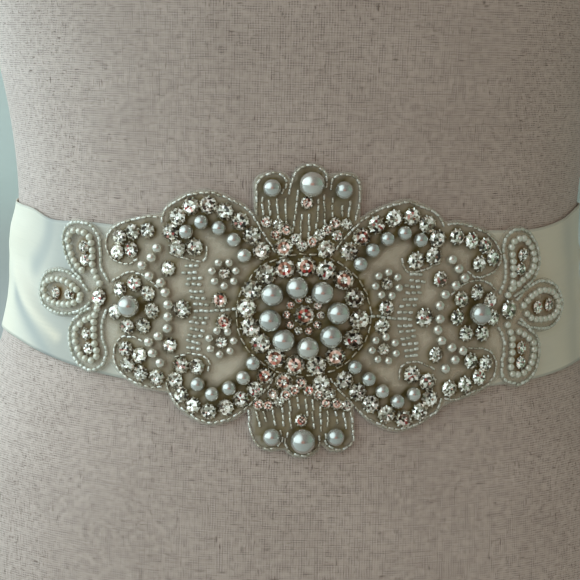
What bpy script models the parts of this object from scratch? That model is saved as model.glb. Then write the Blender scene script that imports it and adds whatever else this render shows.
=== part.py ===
"""Bridal sash tied round a small tabletop dress form.

A satin ribbon goes round the waist of a limbless form and is knotted behind, with two tails. A beaded
applique on sheer organza lies over the front of the ribbon. Sizes here are millimetres; Blender's are
metres.

Places on the sash are given as (u, v, d). u runs round the waist from the centre of the front, to the
right as seen from the front. v is height above the ribbon's centre line. d is the distance out of the form.
"""

import math
from bisect import bisect_right

import bmesh
import bpy
from mathutils import Vector
from mathutils.geometry import delaunay_2d_cdt

MM = 0.001

# Driving sizes of the form
WAIST_HEIGHT = 240.0
FORM_SIDES = 40

# Height above the neck and reach beyond it of the rings of the cap that closes it
NECK_CAP_PROFILE = ((0.3, 1.0), (2.0, 2.0), (5.5, 2.0), (9.0, -0.6), (12.0, -8.0))

# Height, half width, depth to the front and depth to the back, from the flat base to the top of the neck
FORM_SECTIONS = (
    (0, 158, 101, 110),
    (50, 163, 105, 120),
    (110, 157, 102, 116),
    (170, 141, 97, 101),
    (209, 123, 92, 90),
    (240, 116.2, 89.5, 85),
    (265, 114.2, 88.5, 83),
    (307, 118, 91, 86),
    (322, 121, 93.5, 88),
    (362, 131, 103, 94),
    (410, 141, 114, 98),
    (440, 145, 117, 100),
    (480, 149, 112, 99),
    (520, 157, 98, 95),
    (560, 167, 82, 89),
    (590, 163, 70, 81),
    (612, 131, 60, 72),
    (630, 93, 55, 63),
    (645, 66, 52, 56),
    (660, 56, 50, 52),
    (700, 53, 48, 50),
)
HALF_WIDTH, FRONT_DEPTH, BACK_DEPTH = 1, 2, 3

# Start, end and step of the heights at which the form is sectioned
FORM_HEIGHTS = ((0, 180, 22.5), (180, 300, 12), (300, 580, 28), (580, 660, 10), (660, 701, 20))

# Driving sizes of the cloth
CLOTH_THICKNESS = 1.0
RIBBON_STANDOFF = 0.45
APPLIQUE_STANDOFF = 1.8
RIBBON_COLUMNS = 72
RIBBON_ROWS = 8

# Distance round the waist and the heights of the ribbon's lower and upper edge above its centre line
RIBBON_EDGES = (
    (-330, -17, 17),
    (-290, -17.5, 17.5),
    (-245, -25, 25),
    (-200, -27.5, 28.5),
    (-150, -22.8, 29),
    (-131, -22, 29.5),
    (-118, -22.5, 29.2),
    (-104, -24.1, 26.6),
    (-86, -26.2, 27.4),
    (-71, -27.8, 27.4),
    (0, -28.5, 28.5),
    (75, -29.5, 27.9),
    (97, -29, 27.1),
    (119, -27.5, 29.3),
    (133, -26.5, 32),
    (160, -26, 32),
    (200, -28, 29.5),
    (245, -25, 25),
    (290, -17.5, 17.5),
    (330, -17, 17),
)
LOWER_EDGE, UPPER_EDGE = 1, 2

# The ridge of the slanting fold beside the applique's left tip: distance round, height, rise, width below it
LEFT_FOLD = (
    (-190, 10, 0, 9),
    (-150, 6, 1.4, 9),
    (-130, 3, 1.9, 8),
    (-115, -6, 1.7, 7),
    (-102, -14, 0.8, 6),
    (-90, -20, 0, 5),
)
FOLD_HEIGHT, FOLD_RISE, FOLD_WIDTH = 1, 2, 3
LEFT_BULGE_CENTRE = (-140.0, 17.0)
LEFT_BULGE_REACH = (32.0, 13.0)
LEFT_BULGE_RISE = 2.4

# Gathers behind, where the ribbon goes under the knot
GATHER_DEPTH = 1.7
GATHER_REACH = (30.0, 95.0)

# Knot: half sizes round the waist and up, half depth, and the gap left under it
KNOT_HALF = (20.0, 25.0, 7.0)
KNOT_STANDOFF = 3.6
KNOT_SIDES = 18
KNOT_LAYERS = 10
KNOT_CREASE = 0.09
KNOT_CREASES = 3
KNOT_CREASE_TURN = 0.6
KNOT_SQUARENESS = 0.6

# Tails: heights, widths and flutes, and for each the sideways place of its top and foot and the heights
# of its foot's corners
TAIL_TOP = -19.5
TAIL_TOP_LIFT = 2.6
TAIL_HALF_TOP = 6.5
TAIL_HALF_FOOT = 24.5
TAIL_COLUMNS = 9
TAIL_ROWS = 16
TAIL_FLUTES = 3
TAIL_FLUTE_DEPTH = 4.5
TAIL_SPREAD = (-0.1, 0.75)
TAIL_SWING = (-0.2, 1.2)
TAILS = {
    "ribbon_tail_left": {"top": -7.6, "foot": -35.0, "inner_end": -216.0, "outer_end": -194.0},
    "ribbon_tail_right": {"top": 7.6, "foot": 33.0, "inner_end": -204.0, "outer_end": -181.0},
}

# Middle of the applique on the ribbon
APPLIQUE_CENTRE = (2.7, -1.3)
OUTLINE_STEP = 3.6
GRID_STEP = (8.0, 7.0)
PEARL_SIDES = 10
STONE_SIDES = 8
FOOT_SHARE = 0.86
FILLING_CLEARANCE = 1.3
EDGE_CLEARANCE = 2.6

# Height and radius of the rings of a pearl and of a cut stone above its foot, as shares of its own radius
PEARL_RINGS = ((0.8, 0.97), (1.45, 0.52))
STONE_RINGS = ((0.62, 0.62),)

# Large beads: sub-part, what they are, diameter, and places from the middle of the rosette
LARGE_BEADS = (
    ("rosette", "pearl", 8.0,
     ((-11, 7.2), (-2.5, 9.9), (6.2, 8.3), (11.7, 1.1), (9.2, -7.3), (1.5, -11.5), (-6.7, -8.9),
      (-11.5, -1.9))),
    ("rosette", "stone", 6.8,
     ((0, 0), (-13.6, 14.3), (-7, 16.6), (0.4, 17.4), (7.4, 16.3), (13.8, 12.7), (17.6, 6.3), (19.4, -1.4),
      (17, -8.6), (11.1, -14.6), (4.4, -17.9), (-2.7, -17.8), (-9.5, -15.6), (-14.7, -10.3), (-18.5, -4.7),
      (-20, 1.9), (-18.3, 8.6))),
    ("fans", "pearl", 8.8, ((1.8, 47.3), (0.2, -44.9))),
    ("fans", "pearl", 6.3, ((-11.8, 45.5), (12.9, 45.2), (-9.5, -43.8), (10.5, -43.4))),
    ("fans", "stone", 6.0, ((-7.5, 24.1), (7.4, 23.8), (-6.3, -24), (6.3, -24.2))),
    ("flowers", "pearl", 8.0, ((-62.7, -0.1), (64.1, -0.9))),
    ("flowers", "stone", 5.5,
     ((-68.2, 5.4), (-62.5, 8.1), (-56.7, 5), (-54.6, -1.2), (-57.5, -7), (-63.8, -7.9), (-69.4, -3),
      (58, 4.7), (64.6, 7), (70.2, 3.6), (71, -2.9), (66, -8.4), (59.4, -7.9), (56, -1.8))),
    ("flowers", "stone", 5.3,
     ((-29.8, 4.4), (-27.9, -3.4), (-49.3, 14.5), (-46.7, -13.1), (-76.8, 1.5),
      (29.1, 2.6), (27.6, -3.9), (49.7, 12.5), (46.8, -14.9), (78.7, -0.6))),
    ("flowers", "stone", 6.4, ((-43.1, 0.4), (43.1, -1.2))),
)

# Curves of large beads: sub-part, what they are, diameter, how many, and the points of the curve
BEAD_CURVES = (
    ("upper_scrolls", "stone", 6.1, 10,
     ((-15.3, 22.7), (-18.7, 27.7), (-22.5, 32.4), (-27.9, 36), (-33.8, 38.2), (-40, 38), (-45.2, 34.5),
      (-48.7, 28.5), (-46.1, 22.4), (-39.6, 23))),
    ("upper_scrolls", "stone", 6.1, 9,
     ((15.5, 23.1), (19.5, 27.8), (24.2, 32), (30.1, 34.6), (36.9, 35.7), (43, 33.2), (47.9, 28.3),
      (47.5, 21.7), (40.2, 19.7))),
    ("upper_scrolls", "pearl", 5.2, 5,
     ((-21.3, 20.9), (-25.1, 26.4), (-30.3, 30.3), (-36.6, 32.3), (-42.4, 28.5))),
    ("upper_scrolls", "pearl", 5.2, 5,
     ((19.5, 18.6), (23.5, 23.3), (28.8, 27.6), (35.2, 29.7), (41.2, 27.1))),
    ("lower_scrolls", "stone", 5.6, 10,
     ((-12.8, -22.1), (-16, -27), (-20.4, -30.8), (-25.5, -34.2), (-30.5, -35.9), (-36, -34.2),
      (-40.8, -30.6), (-43.6, -25.4), (-41.8, -19.9), (-36.3, -20))),
    ("lower_scrolls", "stone", 6.0, 9,
     ((14, -23.1), (18.2, -27.4), (22.3, -31.7), (27, -35.2), (32.2, -37.6), (38, -35.9), (42.8, -31.6),
      (43.3, -24.9), (37.7, -21.7))),
    ("lower_scrolls", "pearl", 5.2, 5,
     ((-16.9, -17.6), (-20, -23.1), (-24.6, -27), (-30, -29.4), (-35.2, -26.3))),
    ("lower_scrolls", "pearl", 5.2, 5,
     ((17.6, -18.3), (22.4, -22.9), (26.9, -27.5), (31.9, -31.1), (37.3, -28.7))),
    ("lobes", "stone", 5.6, 5, ((-57.8, 27.9), (-63.5, 27.1), (-69, 25), (-70.6, 19.2), (-64.2, 20.4))),
    ("lobes", "stone", 5.6, 5, ((56.2, 27.7), (61.8, 26.2), (67.6, 24.3), (72, 19.6), (65.7, 17.4))),
    ("lobes", "stone", 5.6, 5, ((-50.3, -25.1), (-56, -24.3), (-62.1, -21.5), (-63.6, -16), (-57.9, -17.9))),
    ("lobes", "stone", 5.6, 5, ((50.9, -27.6), (56.9, -26.6), (62.8, -24.4), (66.4, -19.5), (60.4, -18.1))),
)

# Scallops of the organza's edge, clockwise from the top of the upper fan, with a cusp between every two
SCALLOPS = (
    ((1.2, 54.5), (4.8, 53.7), (7.6, 50.8)),
    ((7.6, 50.8), (11, 51.2), (17, 50.8), (19.3, 48), (19.6, 40), (19.4, 35.4)),
    ((19.4, 35.4), (25, 38.7), (30.7, 40.8), (36.2, 41.9), (41.8, 40.5), (48.2, 37), (51.8, 33.4)),
    ((51.8, 33.4), (56.4, 33.8), (62.6, 32.4), (69.8, 29.7), (75.6, 25.4)),
    ((75.6, 25.4), (78.3, 29.1), (84.3, 30.5), (90.6, 28.5), (96.2, 22.1), (97.5, 16.2), (95.5, 11),
     (91.8, 8.3)),
    ((91.8, 8.3), (99.9, 9.5), (108.4, 5.6), (111.9, -1.4), (106.4, -8.7), (97, -10.8), (92.2, -10.6)),
    ((92.2, -10.6), (94, -14.4), (92.2, -21.9), (85.4, -28.6), (78.5, -29.8), (74, -28.2), (72.2, -25.3)),
    ((72.2, -25.3), (69.5, -27), (63.9, -29.8), (57.7, -31.6), (52, -32.9), (48.4, -34)),
    ((48.4, -34), (45.5, -36.5), (41.4, -38.9), (36.1, -41.4), (30.6, -42.5), (24.2, -40), (19.6, -36.6),
     (17.3, -33.4)),
    ((17.3, -33.4), (16.9, -40), (16, -45.4), (12.6, -49), (8.6, -48.9), (6.3, -46.9)),
    ((6.3, -46.9), (4.1, -50), (-0.4, -51.5), (-4, -50.3), (-5.6, -48.6)),
    ((-5.6, -48.6), (-10.4, -49.3), (-14, -47.6), (-16.8, -40.2), (-17.5, -34.6)),
    ((-17.5, -34.6), (-20.8, -37.7), (-25, -39.9), (-29.4, -41.2), (-33.5, -40.4), (-38.4, -38),
     (-43, -34.6), (-46, -30.6)),
    ((-46, -30.6), (-51.9, -30.3), (-57.1, -29.6), (-62.7, -27.2), (-69.6, -21.9)),
    ((-69.6, -21.9), (-72, -25.2), (-76.3, -26.8), (-82.4, -25.6), (-87.3, -21.4), (-89.8, -16.5),
     (-90.3, -11), (-88.4, -7.2)),
    ((-88.4, -7.2), (-94, -8), (-100.3, -7.7), (-107, -5), (-110.2, 0.9), (-108.4, 7), (-100.6, 10.3),
     (-92.2, 9.9)),
    ((-92.2, 9.9), (-96.4, 15.3), (-98.3, 21), (-97.1, 25.6), (-93.4, 29), (-87.4, 29.8), (-81.2, 28.2),
     (-77, 24.6)),
    ((-77, 24.6), (-73.6, 28.6), (-66.6, 31.5), (-60.1, 33.3), (-52.6, 34.9)),
    ((-52.6, 34.9), (-50, 38.4), (-46.2, 40.9), (-41, 43.2), (-35.8, 44), (-31, 43.4), (-25.6, 41.3),
     (-21.3, 39), (-18.6, 36.4)),
    ((-18.6, 36.4), (-18.7, 42), (-18.3, 48.1), (-16.3, 50.2), (-11.5, 51.2), (-7.5, 50.8), (-5.5, 48.6)),
    ((-5.5, 48.6), (-5, 50.7), (-2.1, 53.7), (1.2, 54.5)),
)

COLOURS = {
    "linen": ((0.55, 0.50, 0.44), 0.95),
    "cap_wood": ((0.42, 0.29, 0.18), 0.55),
    "satin": ((0.88, 0.86, 0.76), 0.35),
    "beaded_organza": ((0.72, 0.69, 0.62), 0.45),
}


def through(rows, x, column):
    """Value at x of a smooth curve through one column of a table whose first column is x."""
    low = max(0, min(len(rows) - 2, bisect_right([row[0] for row in rows], x) - 1))
    gaps = [after[0] - before[0] for before, after in zip(rows, rows[1:])]
    slopes = [(after[column] - before[column]) / gap for before, after, gap in zip(rows, rows[1:], gaps)]

    def tangent(index):
        if index in (0, len(rows) - 1):
            return slopes[min(index, len(slopes) - 1)]
        before, after = gaps[index - 1], gaps[index]
        return (slopes[index - 1] * after + slopes[index] * before) / (before + after)

    t = (x - rows[low][0]) / gaps[low]
    start, end = rows[low][column], rows[low + 1][column]
    bend = t * (1 - t) * gaps[low]
    share = t * t * (3 - 2 * t)
    return start + (end - start) * share + bend * ((1 - t) * tangent(low) - t * tangent(low + 1))


def ease(value, start, end):
    """0 before start, 1 after end, and a smooth rise between them."""
    t = max(0.0, min(1.0, (value - start) / (end - start)))
    return t * t * (3 - 2 * t)


def form_point(angle, height):
    """Point on the form at an angle from the front, turning to the right, and a height."""
    depth = through(FORM_SECTIONS, height, FRONT_DEPTH if math.cos(angle) > 0 else BACK_DEPTH)
    width = through(FORM_SECTIONS, height, HALF_WIDTH)
    return Vector((width * math.sin(angle), -depth * math.cos(angle), height))


def waist_table(steps=1440):
    """Distances round the waist and the angles they belong to, from back to front to back."""
    angles = [math.pi * (2 * i / steps - 1) for i in range(steps + 1)]
    points = [form_point(angle, WAIST_HEIGHT) for angle in angles]
    distances = [0.0]
    for before, after in zip(points, points[1:]):
        distances.append(distances[-1] + (after - before).length)
    middle = distances[steps // 2]
    return [distance - middle for distance in distances], angles


WAIST_DISTANCES, WAIST_ANGLES = waist_table()
WAIST_GIRTH = WAIST_DISTANCES[-1] - WAIST_DISTANCES[0]


def waist_angle(u):
    """Angle round the form at a distance u round the waist."""
    u = (u - WAIST_DISTANCES[0]) % WAIST_GIRTH + WAIST_DISTANCES[0]
    i = min(len(WAIST_DISTANCES) - 2, bisect_right(WAIST_DISTANCES, u) - 1)
    share = (u - WAIST_DISTANCES[i]) / (WAIST_DISTANCES[i + 1] - WAIST_DISTANCES[i])
    return WAIST_ANGLES[i] + share * (WAIST_ANGLES[i + 1] - WAIST_ANGLES[i])


def on_form(u, v, d):
    """Point at distance u round the waist, v above its line and d out of the form."""
    angle, height, turn, lift = waist_angle(u), WAIST_HEIGHT + v, 0.002, 0.1
    across = form_point(angle + turn, height) - form_point(angle - turn, height)
    upward = form_point(angle, height + lift) - form_point(angle, height - lift)
    return form_point(angle, height) + across.cross(upward).normalized() * d


def fold_rise(u, v):
    """How far the ribbon stands proud of the form in the folds at its left side."""
    if not LEFT_FOLD[0][0] < u < LEFT_FOLD[-1][0]:
        return 0.0
    ridge = through(LEFT_FOLD, u, FOLD_HEIGHT)
    width = through(LEFT_FOLD, u, FOLD_WIDTH) * (1.0 if v < ridge else 0.6)
    crest = max(0.0, through(LEFT_FOLD, u, FOLD_RISE)) * math.exp(-((v - ridge) / width) ** 2)
    away_u = (u - LEFT_BULGE_CENTRE[0]) / LEFT_BULGE_REACH[0]
    away_v = (v - LEFT_BULGE_CENTRE[1]) / LEFT_BULGE_REACH[1]
    return crest + LEFT_BULGE_RISE * (1 - ease(math.hypot(away_u, away_v), 0.0, 1.0))


def on_ribbon(u, v, d):
    """Point at a distance d out of the form, over the ribbon's folds."""
    return on_form(u, v, d + fold_rise(u, v))


def material(name):
    """Principled material of one of the colours above, made once."""
    if name in bpy.data.materials:
        return bpy.data.materials[name]
    made = bpy.data.materials.new(name)
    made.use_nodes = True
    colour, roughness = COLOURS[name]
    shader = made.node_tree.nodes["Principled BSDF"]
    shader.inputs["Base Color"].default_value = (*colour, 1)
    shader.inputs["Roughness"].default_value = roughness
    shader.inputs["Metallic"].default_value = 0.0
    made.diffuse_color = (*colour, 1)
    return made


def finished(name, bm, colour):
    """Object of a closed mesh, its faces turned outwards."""
    bmesh.ops.recalc_face_normals(bm, faces=bm.faces)
    mesh = bpy.data.meshes.new(name)
    bm.to_mesh(mesh)
    bm.free()
    mesh.shade_smooth()
    mesh.set_sharp_from_angle(angle=math.radians(40))
    mesh.materials.append(material(colour))
    made = bpy.data.objects.new(name, mesh)
    bpy.context.scene.collection.objects.link(made)
    return made


def ring_of(bm, points):
    """Vertices at a list of points in millimetres."""
    return [bm.verts.new(Vector(point) * MM) for point in points]


def bridge(bm, low, high):
    """Quads between two closed rings of the same count."""
    for i in range(len(low)):
        j = (i + 1) % len(low)
        bm.faces.new((low[i], low[j], high[j], high[i]))


def lofted(name, rings, colour):
    """Closed solid through a list of rings of points, with flat ends."""
    bm = bmesh.new()
    made = [ring_of(bm, ring) for ring in rings]
    for low, high in zip(made, made[1:]):
        bridge(bm, low, high)
    bm.faces.new(made[0])
    bm.faces.new(made[-1])
    return finished(name, bm, colour)


def form_ring(height, grow=0.0):
    """Points round the form at one height, moved out by grow."""
    points = []
    for i in range(FORM_SIDES):
        angle = 2 * math.pi * i / FORM_SIDES
        point = form_point(angle, height)
        points.append(point + Vector((math.sin(angle), -math.cos(angle), 0)) * grow)
    return points


def form_torso():
    """Torso of the form, one solid from its flat base to the top of its neck."""
    heights = []
    for start, end, step in FORM_HEIGHTS:
        count = round((end - start) / step)
        heights += [start + (end - start) * i / count for i in range(count)]
    heights[-1] = FORM_SECTIONS[-1][0]
    return lofted("form_torso", [form_ring(height) for height in heights], "linen")


def form_neck_cap():
    """Turned cap that closes the neck, a little wider than it."""
    top = FORM_SECTIONS[-1][0]
    rings = []
    for rise, grow in NECK_CAP_PROFILE:
        rings.append([point + Vector((0, 0, rise)) for point in form_ring(top, grow)])
    return lofted("form_neck_cap", rings, "cap_wood")


def cloth_wall(name, inner, outer, closed, colour):
    """Wall between two grids of points, inner and outer, which run round if closed."""
    bm = bmesh.new()
    inside = [ring_of(bm, column) for column in inner]
    outside = [ring_of(bm, column) for column in outer]
    columns, last = len(inside), len(inside[0]) - 1
    for i in range(columns if closed else columns - 1):
        j = (i + 1) % columns
        for k in range(last):
            bm.faces.new((outside[i][k], outside[j][k], outside[j][k + 1], outside[i][k + 1]))
            bm.faces.new((inside[i][k], inside[i][k + 1], inside[j][k + 1], inside[j][k]))
        bm.faces.new((inside[i][0], inside[j][0], outside[j][0], outside[i][0]))
        bm.faces.new((inside[i][last], outside[i][last], outside[j][last], inside[j][last]))
    if not closed:
        for i in (0, columns - 1):
            for k in range(last):
                bm.faces.new((inside[i][k], outside[i][k], outside[i][k + 1], inside[i][k + 1]))
    return finished(name, bm, colour)


def ribbon_band():
    """Ribbon all round the waist, gathered behind where the knot holds it."""
    grids = []
    for d in (RIBBON_STANDOFF, RIBBON_STANDOFF + CLOTH_THICKNESS):
        columns = []
        for i in range(RIBBON_COLUMNS):
            u = WAIST_GIRTH * (i / RIBBON_COLUMNS - 0.5)
            low, high = through(RIBBON_EDGES, u, LOWER_EDGE), through(RIBBON_EDGES, u, UPPER_EDGE)
            gather = GATHER_DEPTH * (1 - ease(WAIST_GIRTH / 2 - abs(u), *GATHER_REACH))
            heights = [low + (high - low) * k / RIBBON_ROWS for k in range(RIBBON_ROWS + 1)]
            columns.append([on_ribbon(u, v, d + gather * (k % 2)) for k, v in enumerate(heights)])
        grids.append(columns)
    return cloth_wall("ribbon_band", *grids, True, "satin")


def ribbon_knot():
    """Knot behind: a pillow of wrapped ribbon with soft creases, flat towards the form."""
    half_u, half_v, half_d = KNOT_HALF
    middle_d = KNOT_STANDOFF + half_d
    rings = []
    for layer in range(1, KNOT_LAYERS):
        lift = math.pi * layer / KNOT_LAYERS
        ring = []
        for i in range(KNOT_SIDES):
            turn = 2 * math.pi * i / KNOT_SIDES
            crease = 1 + KNOT_CREASE * math.cos(KNOT_CREASES * turn + KNOT_CREASE_TURN)
            fullness = math.sin(lift) ** KNOT_SQUARENESS
            u = half_u * fullness * math.cos(turn) * crease
            d = middle_d + half_d * fullness * math.sin(turn) * (crease if math.sin(turn) > 0 else 1)
            ring.append(on_form(WAIST_GIRTH / 2 + u, -half_v * math.cos(lift), d))
        rings.append(ring)
    return lofted("ribbon_knot", rings, "satin")


def ribbon_tail(name, top, foot, inner_end, outer_end):
    """Tail of the ribbon from under the knot down the back, fluted and cut on the slant."""
    side = math.copysign(1, foot)
    grids = []
    for d in (RIBBON_STANDOFF, RIBBON_STANDOFF + CLOTH_THICKNESS):
        columns = []
        for i in range(TAIL_COLUMNS + 1):
            across = 2 * i / TAIL_COLUMNS - 1
            end = inner_end + (outer_end - inner_end) * (0.5 + 0.5 * across * side)
            column = []
            for k in range(TAIL_ROWS + 1):
                down = k / TAIL_ROWS
                half = TAIL_HALF_TOP + (TAIL_HALF_FOOT - TAIL_HALF_TOP) * ease(down, *TAIL_SPREAD)
                u = top + (foot - top) * ease(down, *TAIL_SWING) + half * across
                wave = 0.5 - 0.5 * math.cos(2 * math.pi * TAIL_FLUTES * i / TAIL_COLUMNS)
                lift = TAIL_TOP_LIFT * (1 - ease(down, 0, 0.2))
                rise = TAIL_FLUTE_DEPTH * wave * ease(down, 0, 0.5) + lift
                column.append(on_form(WAIST_GIRTH / 2 + u, TAIL_TOP + (end - TAIL_TOP) * down, d + rise))
            columns.append(column)
        grids.append(columns)
    return cloth_wall(name, *grids, False, "satin")


def curve_points(controls, step):
    """Points about a step apart on a smooth curve through the controls, ends included."""
    distances = [0.0]
    for before, after in zip(controls, controls[1:]):
        distances.append(distances[-1] + math.dist(before, after))
    rows = [(s, *point) for s, point in zip(distances, controls)]
    count = max(1, round(distances[-1] / step))
    places = [distances[-1] * i / count for i in range(count + 1)]
    return [(through(rows, place, 1), through(rows, place, 2)) for place in places]


def organza_edge():
    """Corners of the organza's edge, once round, from its scallops."""
    edge = []
    for scallop in SCALLOPS:
        edge += curve_points(scallop, OUTLINE_STEP)[:-1]
    return edge


def spaced(controls, count):
    """A given count of points evenly along a smooth curve through the controls."""
    fine = curve_points(controls, 0.4)
    lengths = [0.0]
    for before, after in zip(fine, fine[1:]):
        lengths.append(lengths[-1] + math.dist(before, after))
    rows = [(s, *point) for s, point in zip(lengths, fine)]
    places = [lengths[-1] * i / (count - 1) for i in range(count)]
    return [(through(rows, place, 1), through(rows, place, 2)) for place in places]


def large_beads():
    """Pearls and cut stones of the applique over 5 mm: (sideways, height, radius, is it a pearl)."""
    beads = []
    for part, kind, diameter, places in LARGE_BEADS:
        beads += [(x, y, diameter / 2, kind == "pearl") for x, y in places]
    for part, kind, diameter, count, controls in BEAD_CURVES:
        beads += [(x, y, diameter / 2, kind == "pearl") for x, y in spaced(controls, count)]
    return beads


def inside(point, polygon):
    """Whether a point lies inside a polygon."""
    crossings = False
    for (x1, y1), (x2, y2) in zip(polygon, polygon[1:] + polygon[:1]):
        if (y1 > point[1]) != (y2 > point[1]) and point[0] < x1 + (x2 - x1) * (point[1] - y1) / (y2 - y1):
            crossings = not crossings
    return crossings


def filling(edge, beads):
    """Staggered points inside the edge, clear of it and of the beads' feet."""
    step_x, step_y = GRID_STEP
    reach = max(abs(x) for x, y in edge), max(abs(y) for x, y in edge)
    points = []
    for row in range(-int(reach[1] / step_y) - 1, int(reach[1] / step_y) + 2):
        for column in range(-int(reach[0] / step_x) - 1, int(reach[0] / step_x) + 2):
            point = (step_x * (column + 0.5 * (row % 2)), step_y * row)
            if not inside(point, edge) or min(math.dist(point, corner) for corner in edge) < EDGE_CLEARANCE:
                continue
            if all(math.dist(point, (x, y)) > FOOT_SHARE * r + FILLING_CLEARANCE for x, y, r, pearl in beads):
                points.append(point)
    return points


def triangulated(edge, others, loops):
    """Triangles inside the edge over its corners and the other points, kept to the loops' sides."""
    points = [Vector(point) for point in edge + others]
    sides = [(i, (i + 1) % len(edge)) for i in range(len(edge))]
    sides += [(loop[i], loop[(i + 1) % len(loop)]) for loop in loops for i in range(len(loop))]
    made, _, faces, sources, _, _ = delaunay_2d_cdt(points, sides, [], 0, 1e-4, True)
    kept = [face for face in faces if inside(sum((made[i] for i in face), Vector((0, 0))) / 3, edge)]
    return [[sources[i][0] for i in face] for face in kept]


def applique():
    """Organza wall with its large pearls and stones raised from the outer side, plain underneath."""
    edge, beads = organza_edge(), large_beads()
    outer_points, loops = [], []
    for x, y, r, pearl in beads:
        sides = PEARL_SIDES if pearl else STONE_SIDES
        start = len(edge) + len(outer_points)
        foot = FOOT_SHARE * r
        turns = [2 * math.pi * (i + 0.5) / sides for i in range(sides)]
        outer_points += [(x + foot * math.cos(turn), y + foot * math.sin(turn)) for turn in turns]
        loops.append(list(range(start, start + sides)))
    outer_points += filling(edge, beads)
    owner = {corner: number for number, loop in enumerate(loops) for corner in loop}

    def place(bm, point, d):
        centre_u, centre_v = APPLIQUE_CENTRE
        return bm.verts.new(on_ribbon(centre_u + point[0], centre_v + point[1], d) * MM)

    bm = bmesh.new()
    top = APPLIQUE_STANDOFF + CLOTH_THICKNESS
    outer = [place(bm, point, top) for point in edge + outer_points]
    inner_points = filling(edge, [])
    inner = [place(bm, point, APPLIQUE_STANDOFF) for point in edge + inner_points]
    for face in triangulated(edge, outer_points, loops):
        owners = {owner.get(corner, -1) for corner in face}
        if len(owners) > 1 or -1 in owners:
            bm.faces.new([outer[corner] for corner in face])
    for face in triangulated(edge, inner_points, []):
        bm.faces.new([inner[corner] for corner in reversed(face)])
    for i in range(len(edge)):
        j = (i + 1) % len(edge)
        bm.faces.new((inner[i], inner[j], outer[j], outer[i]))
    for (x, y, r, pearl), loop in zip(beads, loops):
        low = [outer[corner] for corner in loop]
        for rise, share in PEARL_RINGS if pearl else STONE_RINGS:
            turns = [2 * math.pi * (i + 0.5) / len(loop) for i in range(len(loop))]
            places = [(x + share * r * math.cos(turn), y + share * r * math.sin(turn)) for turn in turns]
            high = [place(bm, point, top + rise * r) for point in places]
            bridge(bm, low, high)
            low = high
        bm.faces.new(low)
    return finished("applique", bm, "beaded_organza")


def build():
    """All the solids, in an empty scene."""
    for old in list(bpy.data.objects):
        bpy.data.objects.remove(old, do_unlink=True)
    form_torso()
    form_neck_cap()
    ribbon_band()
    ribbon_knot()
    for name, sizes in TAILS.items():
        ribbon_tail(name, **sizes)
    applique()


build()
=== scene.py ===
# %% [markdown]
# # A beaded bridal sash on a tabletop dress form
#
# The real sash is a satin ribbon, tied behind, with an appliqué sewn to its front. The appliqué is a piece of
# sheer organza that carries pearls, foil-backed stones in claw settings and short silver-lined glass tubes.
# A linen-covered form without limbs holds it.
#
# The lesson goes the way a maker would: the frame and the light, then the form, the ribbon, the organza, and
# last the beads, which are small templates copied many times. Lengths are millimetres in the tables and
# metres in Blender.

import math

import bmesh
import bpy
import numpy as np
from mathutils import Matrix, Vector


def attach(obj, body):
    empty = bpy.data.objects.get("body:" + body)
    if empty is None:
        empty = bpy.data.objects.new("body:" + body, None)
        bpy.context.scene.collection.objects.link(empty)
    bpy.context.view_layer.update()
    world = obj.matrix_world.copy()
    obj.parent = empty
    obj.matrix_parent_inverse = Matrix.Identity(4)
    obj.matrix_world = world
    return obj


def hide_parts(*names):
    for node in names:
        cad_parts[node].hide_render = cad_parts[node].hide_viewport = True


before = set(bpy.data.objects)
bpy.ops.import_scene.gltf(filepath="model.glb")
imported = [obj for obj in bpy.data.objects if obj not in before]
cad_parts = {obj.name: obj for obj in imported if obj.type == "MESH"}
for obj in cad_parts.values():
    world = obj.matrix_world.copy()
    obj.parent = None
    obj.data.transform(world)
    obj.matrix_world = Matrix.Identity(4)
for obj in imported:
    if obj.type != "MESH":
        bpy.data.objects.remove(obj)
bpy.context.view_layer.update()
MM = 0.001

# %% [markdown]
# ## The camera
#
# The photograph looks down on the waist by about ten degrees from some 60 cm away, and is turned by about one
# degree. Building the camera from an aim point, a distance and three directions keeps those facts readable.

# %% The camera
AIM = Vector((-2.35, 0.0, 232.39)) * MM
DISTANCE = 0.609
ELEVATION = math.radians(9.5)
ROLL = math.radians(1.2)
LENS = 90.4
SENSOR = 36.0


def placed(name, data):
    """A new object in the scene."""
    made = bpy.data.objects.new(name, data)
    bpy.context.scene.collection.objects.link(made)
    return made


def photo_camera():
    """Camera at the photograph's place, angle and field of view."""
    back = Vector((0, -math.cos(ELEVATION), math.sin(ELEVATION)))
    side = Vector((1, 0, 0))
    up = back.cross(side)
    right = side * math.cos(ROLL) + up * math.sin(ROLL)
    upward = up * math.cos(ROLL) - side * math.sin(ROLL)
    data = bpy.data.cameras.new("camera")
    data.lens = LENS
    data.sensor_width = SENSOR
    data.clip_start = 0.01
    made = placed("camera", data)
    turned = Matrix((right, upward, back)).transposed().to_4x4()
    made.matrix_world = Matrix.Translation(AIM + back * DISTANCE) @ turned
    return made


bpy.context.scene.camera = photo_camera()
print("camera at", [round(value, 3) for value in bpy.context.scene.camera.matrix_world.translation])

# %% [markdown]
# ## Shader maths as Python
#
# Materials are graphs of nodes. Written by hand they are long, so small classes shorten them. A `Wire` is a
# socket that + - * and abs work on, each adding one Math node. A `Graph` adds any other node through one
# method, and a `Finish` is the graph of a material, which also sets values on its shader.

# %% Wires
MIX_A, MIX_B, MIX_RESULT = 6, 7, 2


def feed(tree, socket, value):
    """Gives a socket a wire, a number or a colour."""
    if isinstance(value, Wire):
        tree.links.new(value.socket, socket)
    elif isinstance(value, (int, float)):
        socket.default_value = value
    elif socket.type == "RGBA":
        socket.default_value = (*value[:3], 1.0)
    else:
        socket.default_value = value


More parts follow.
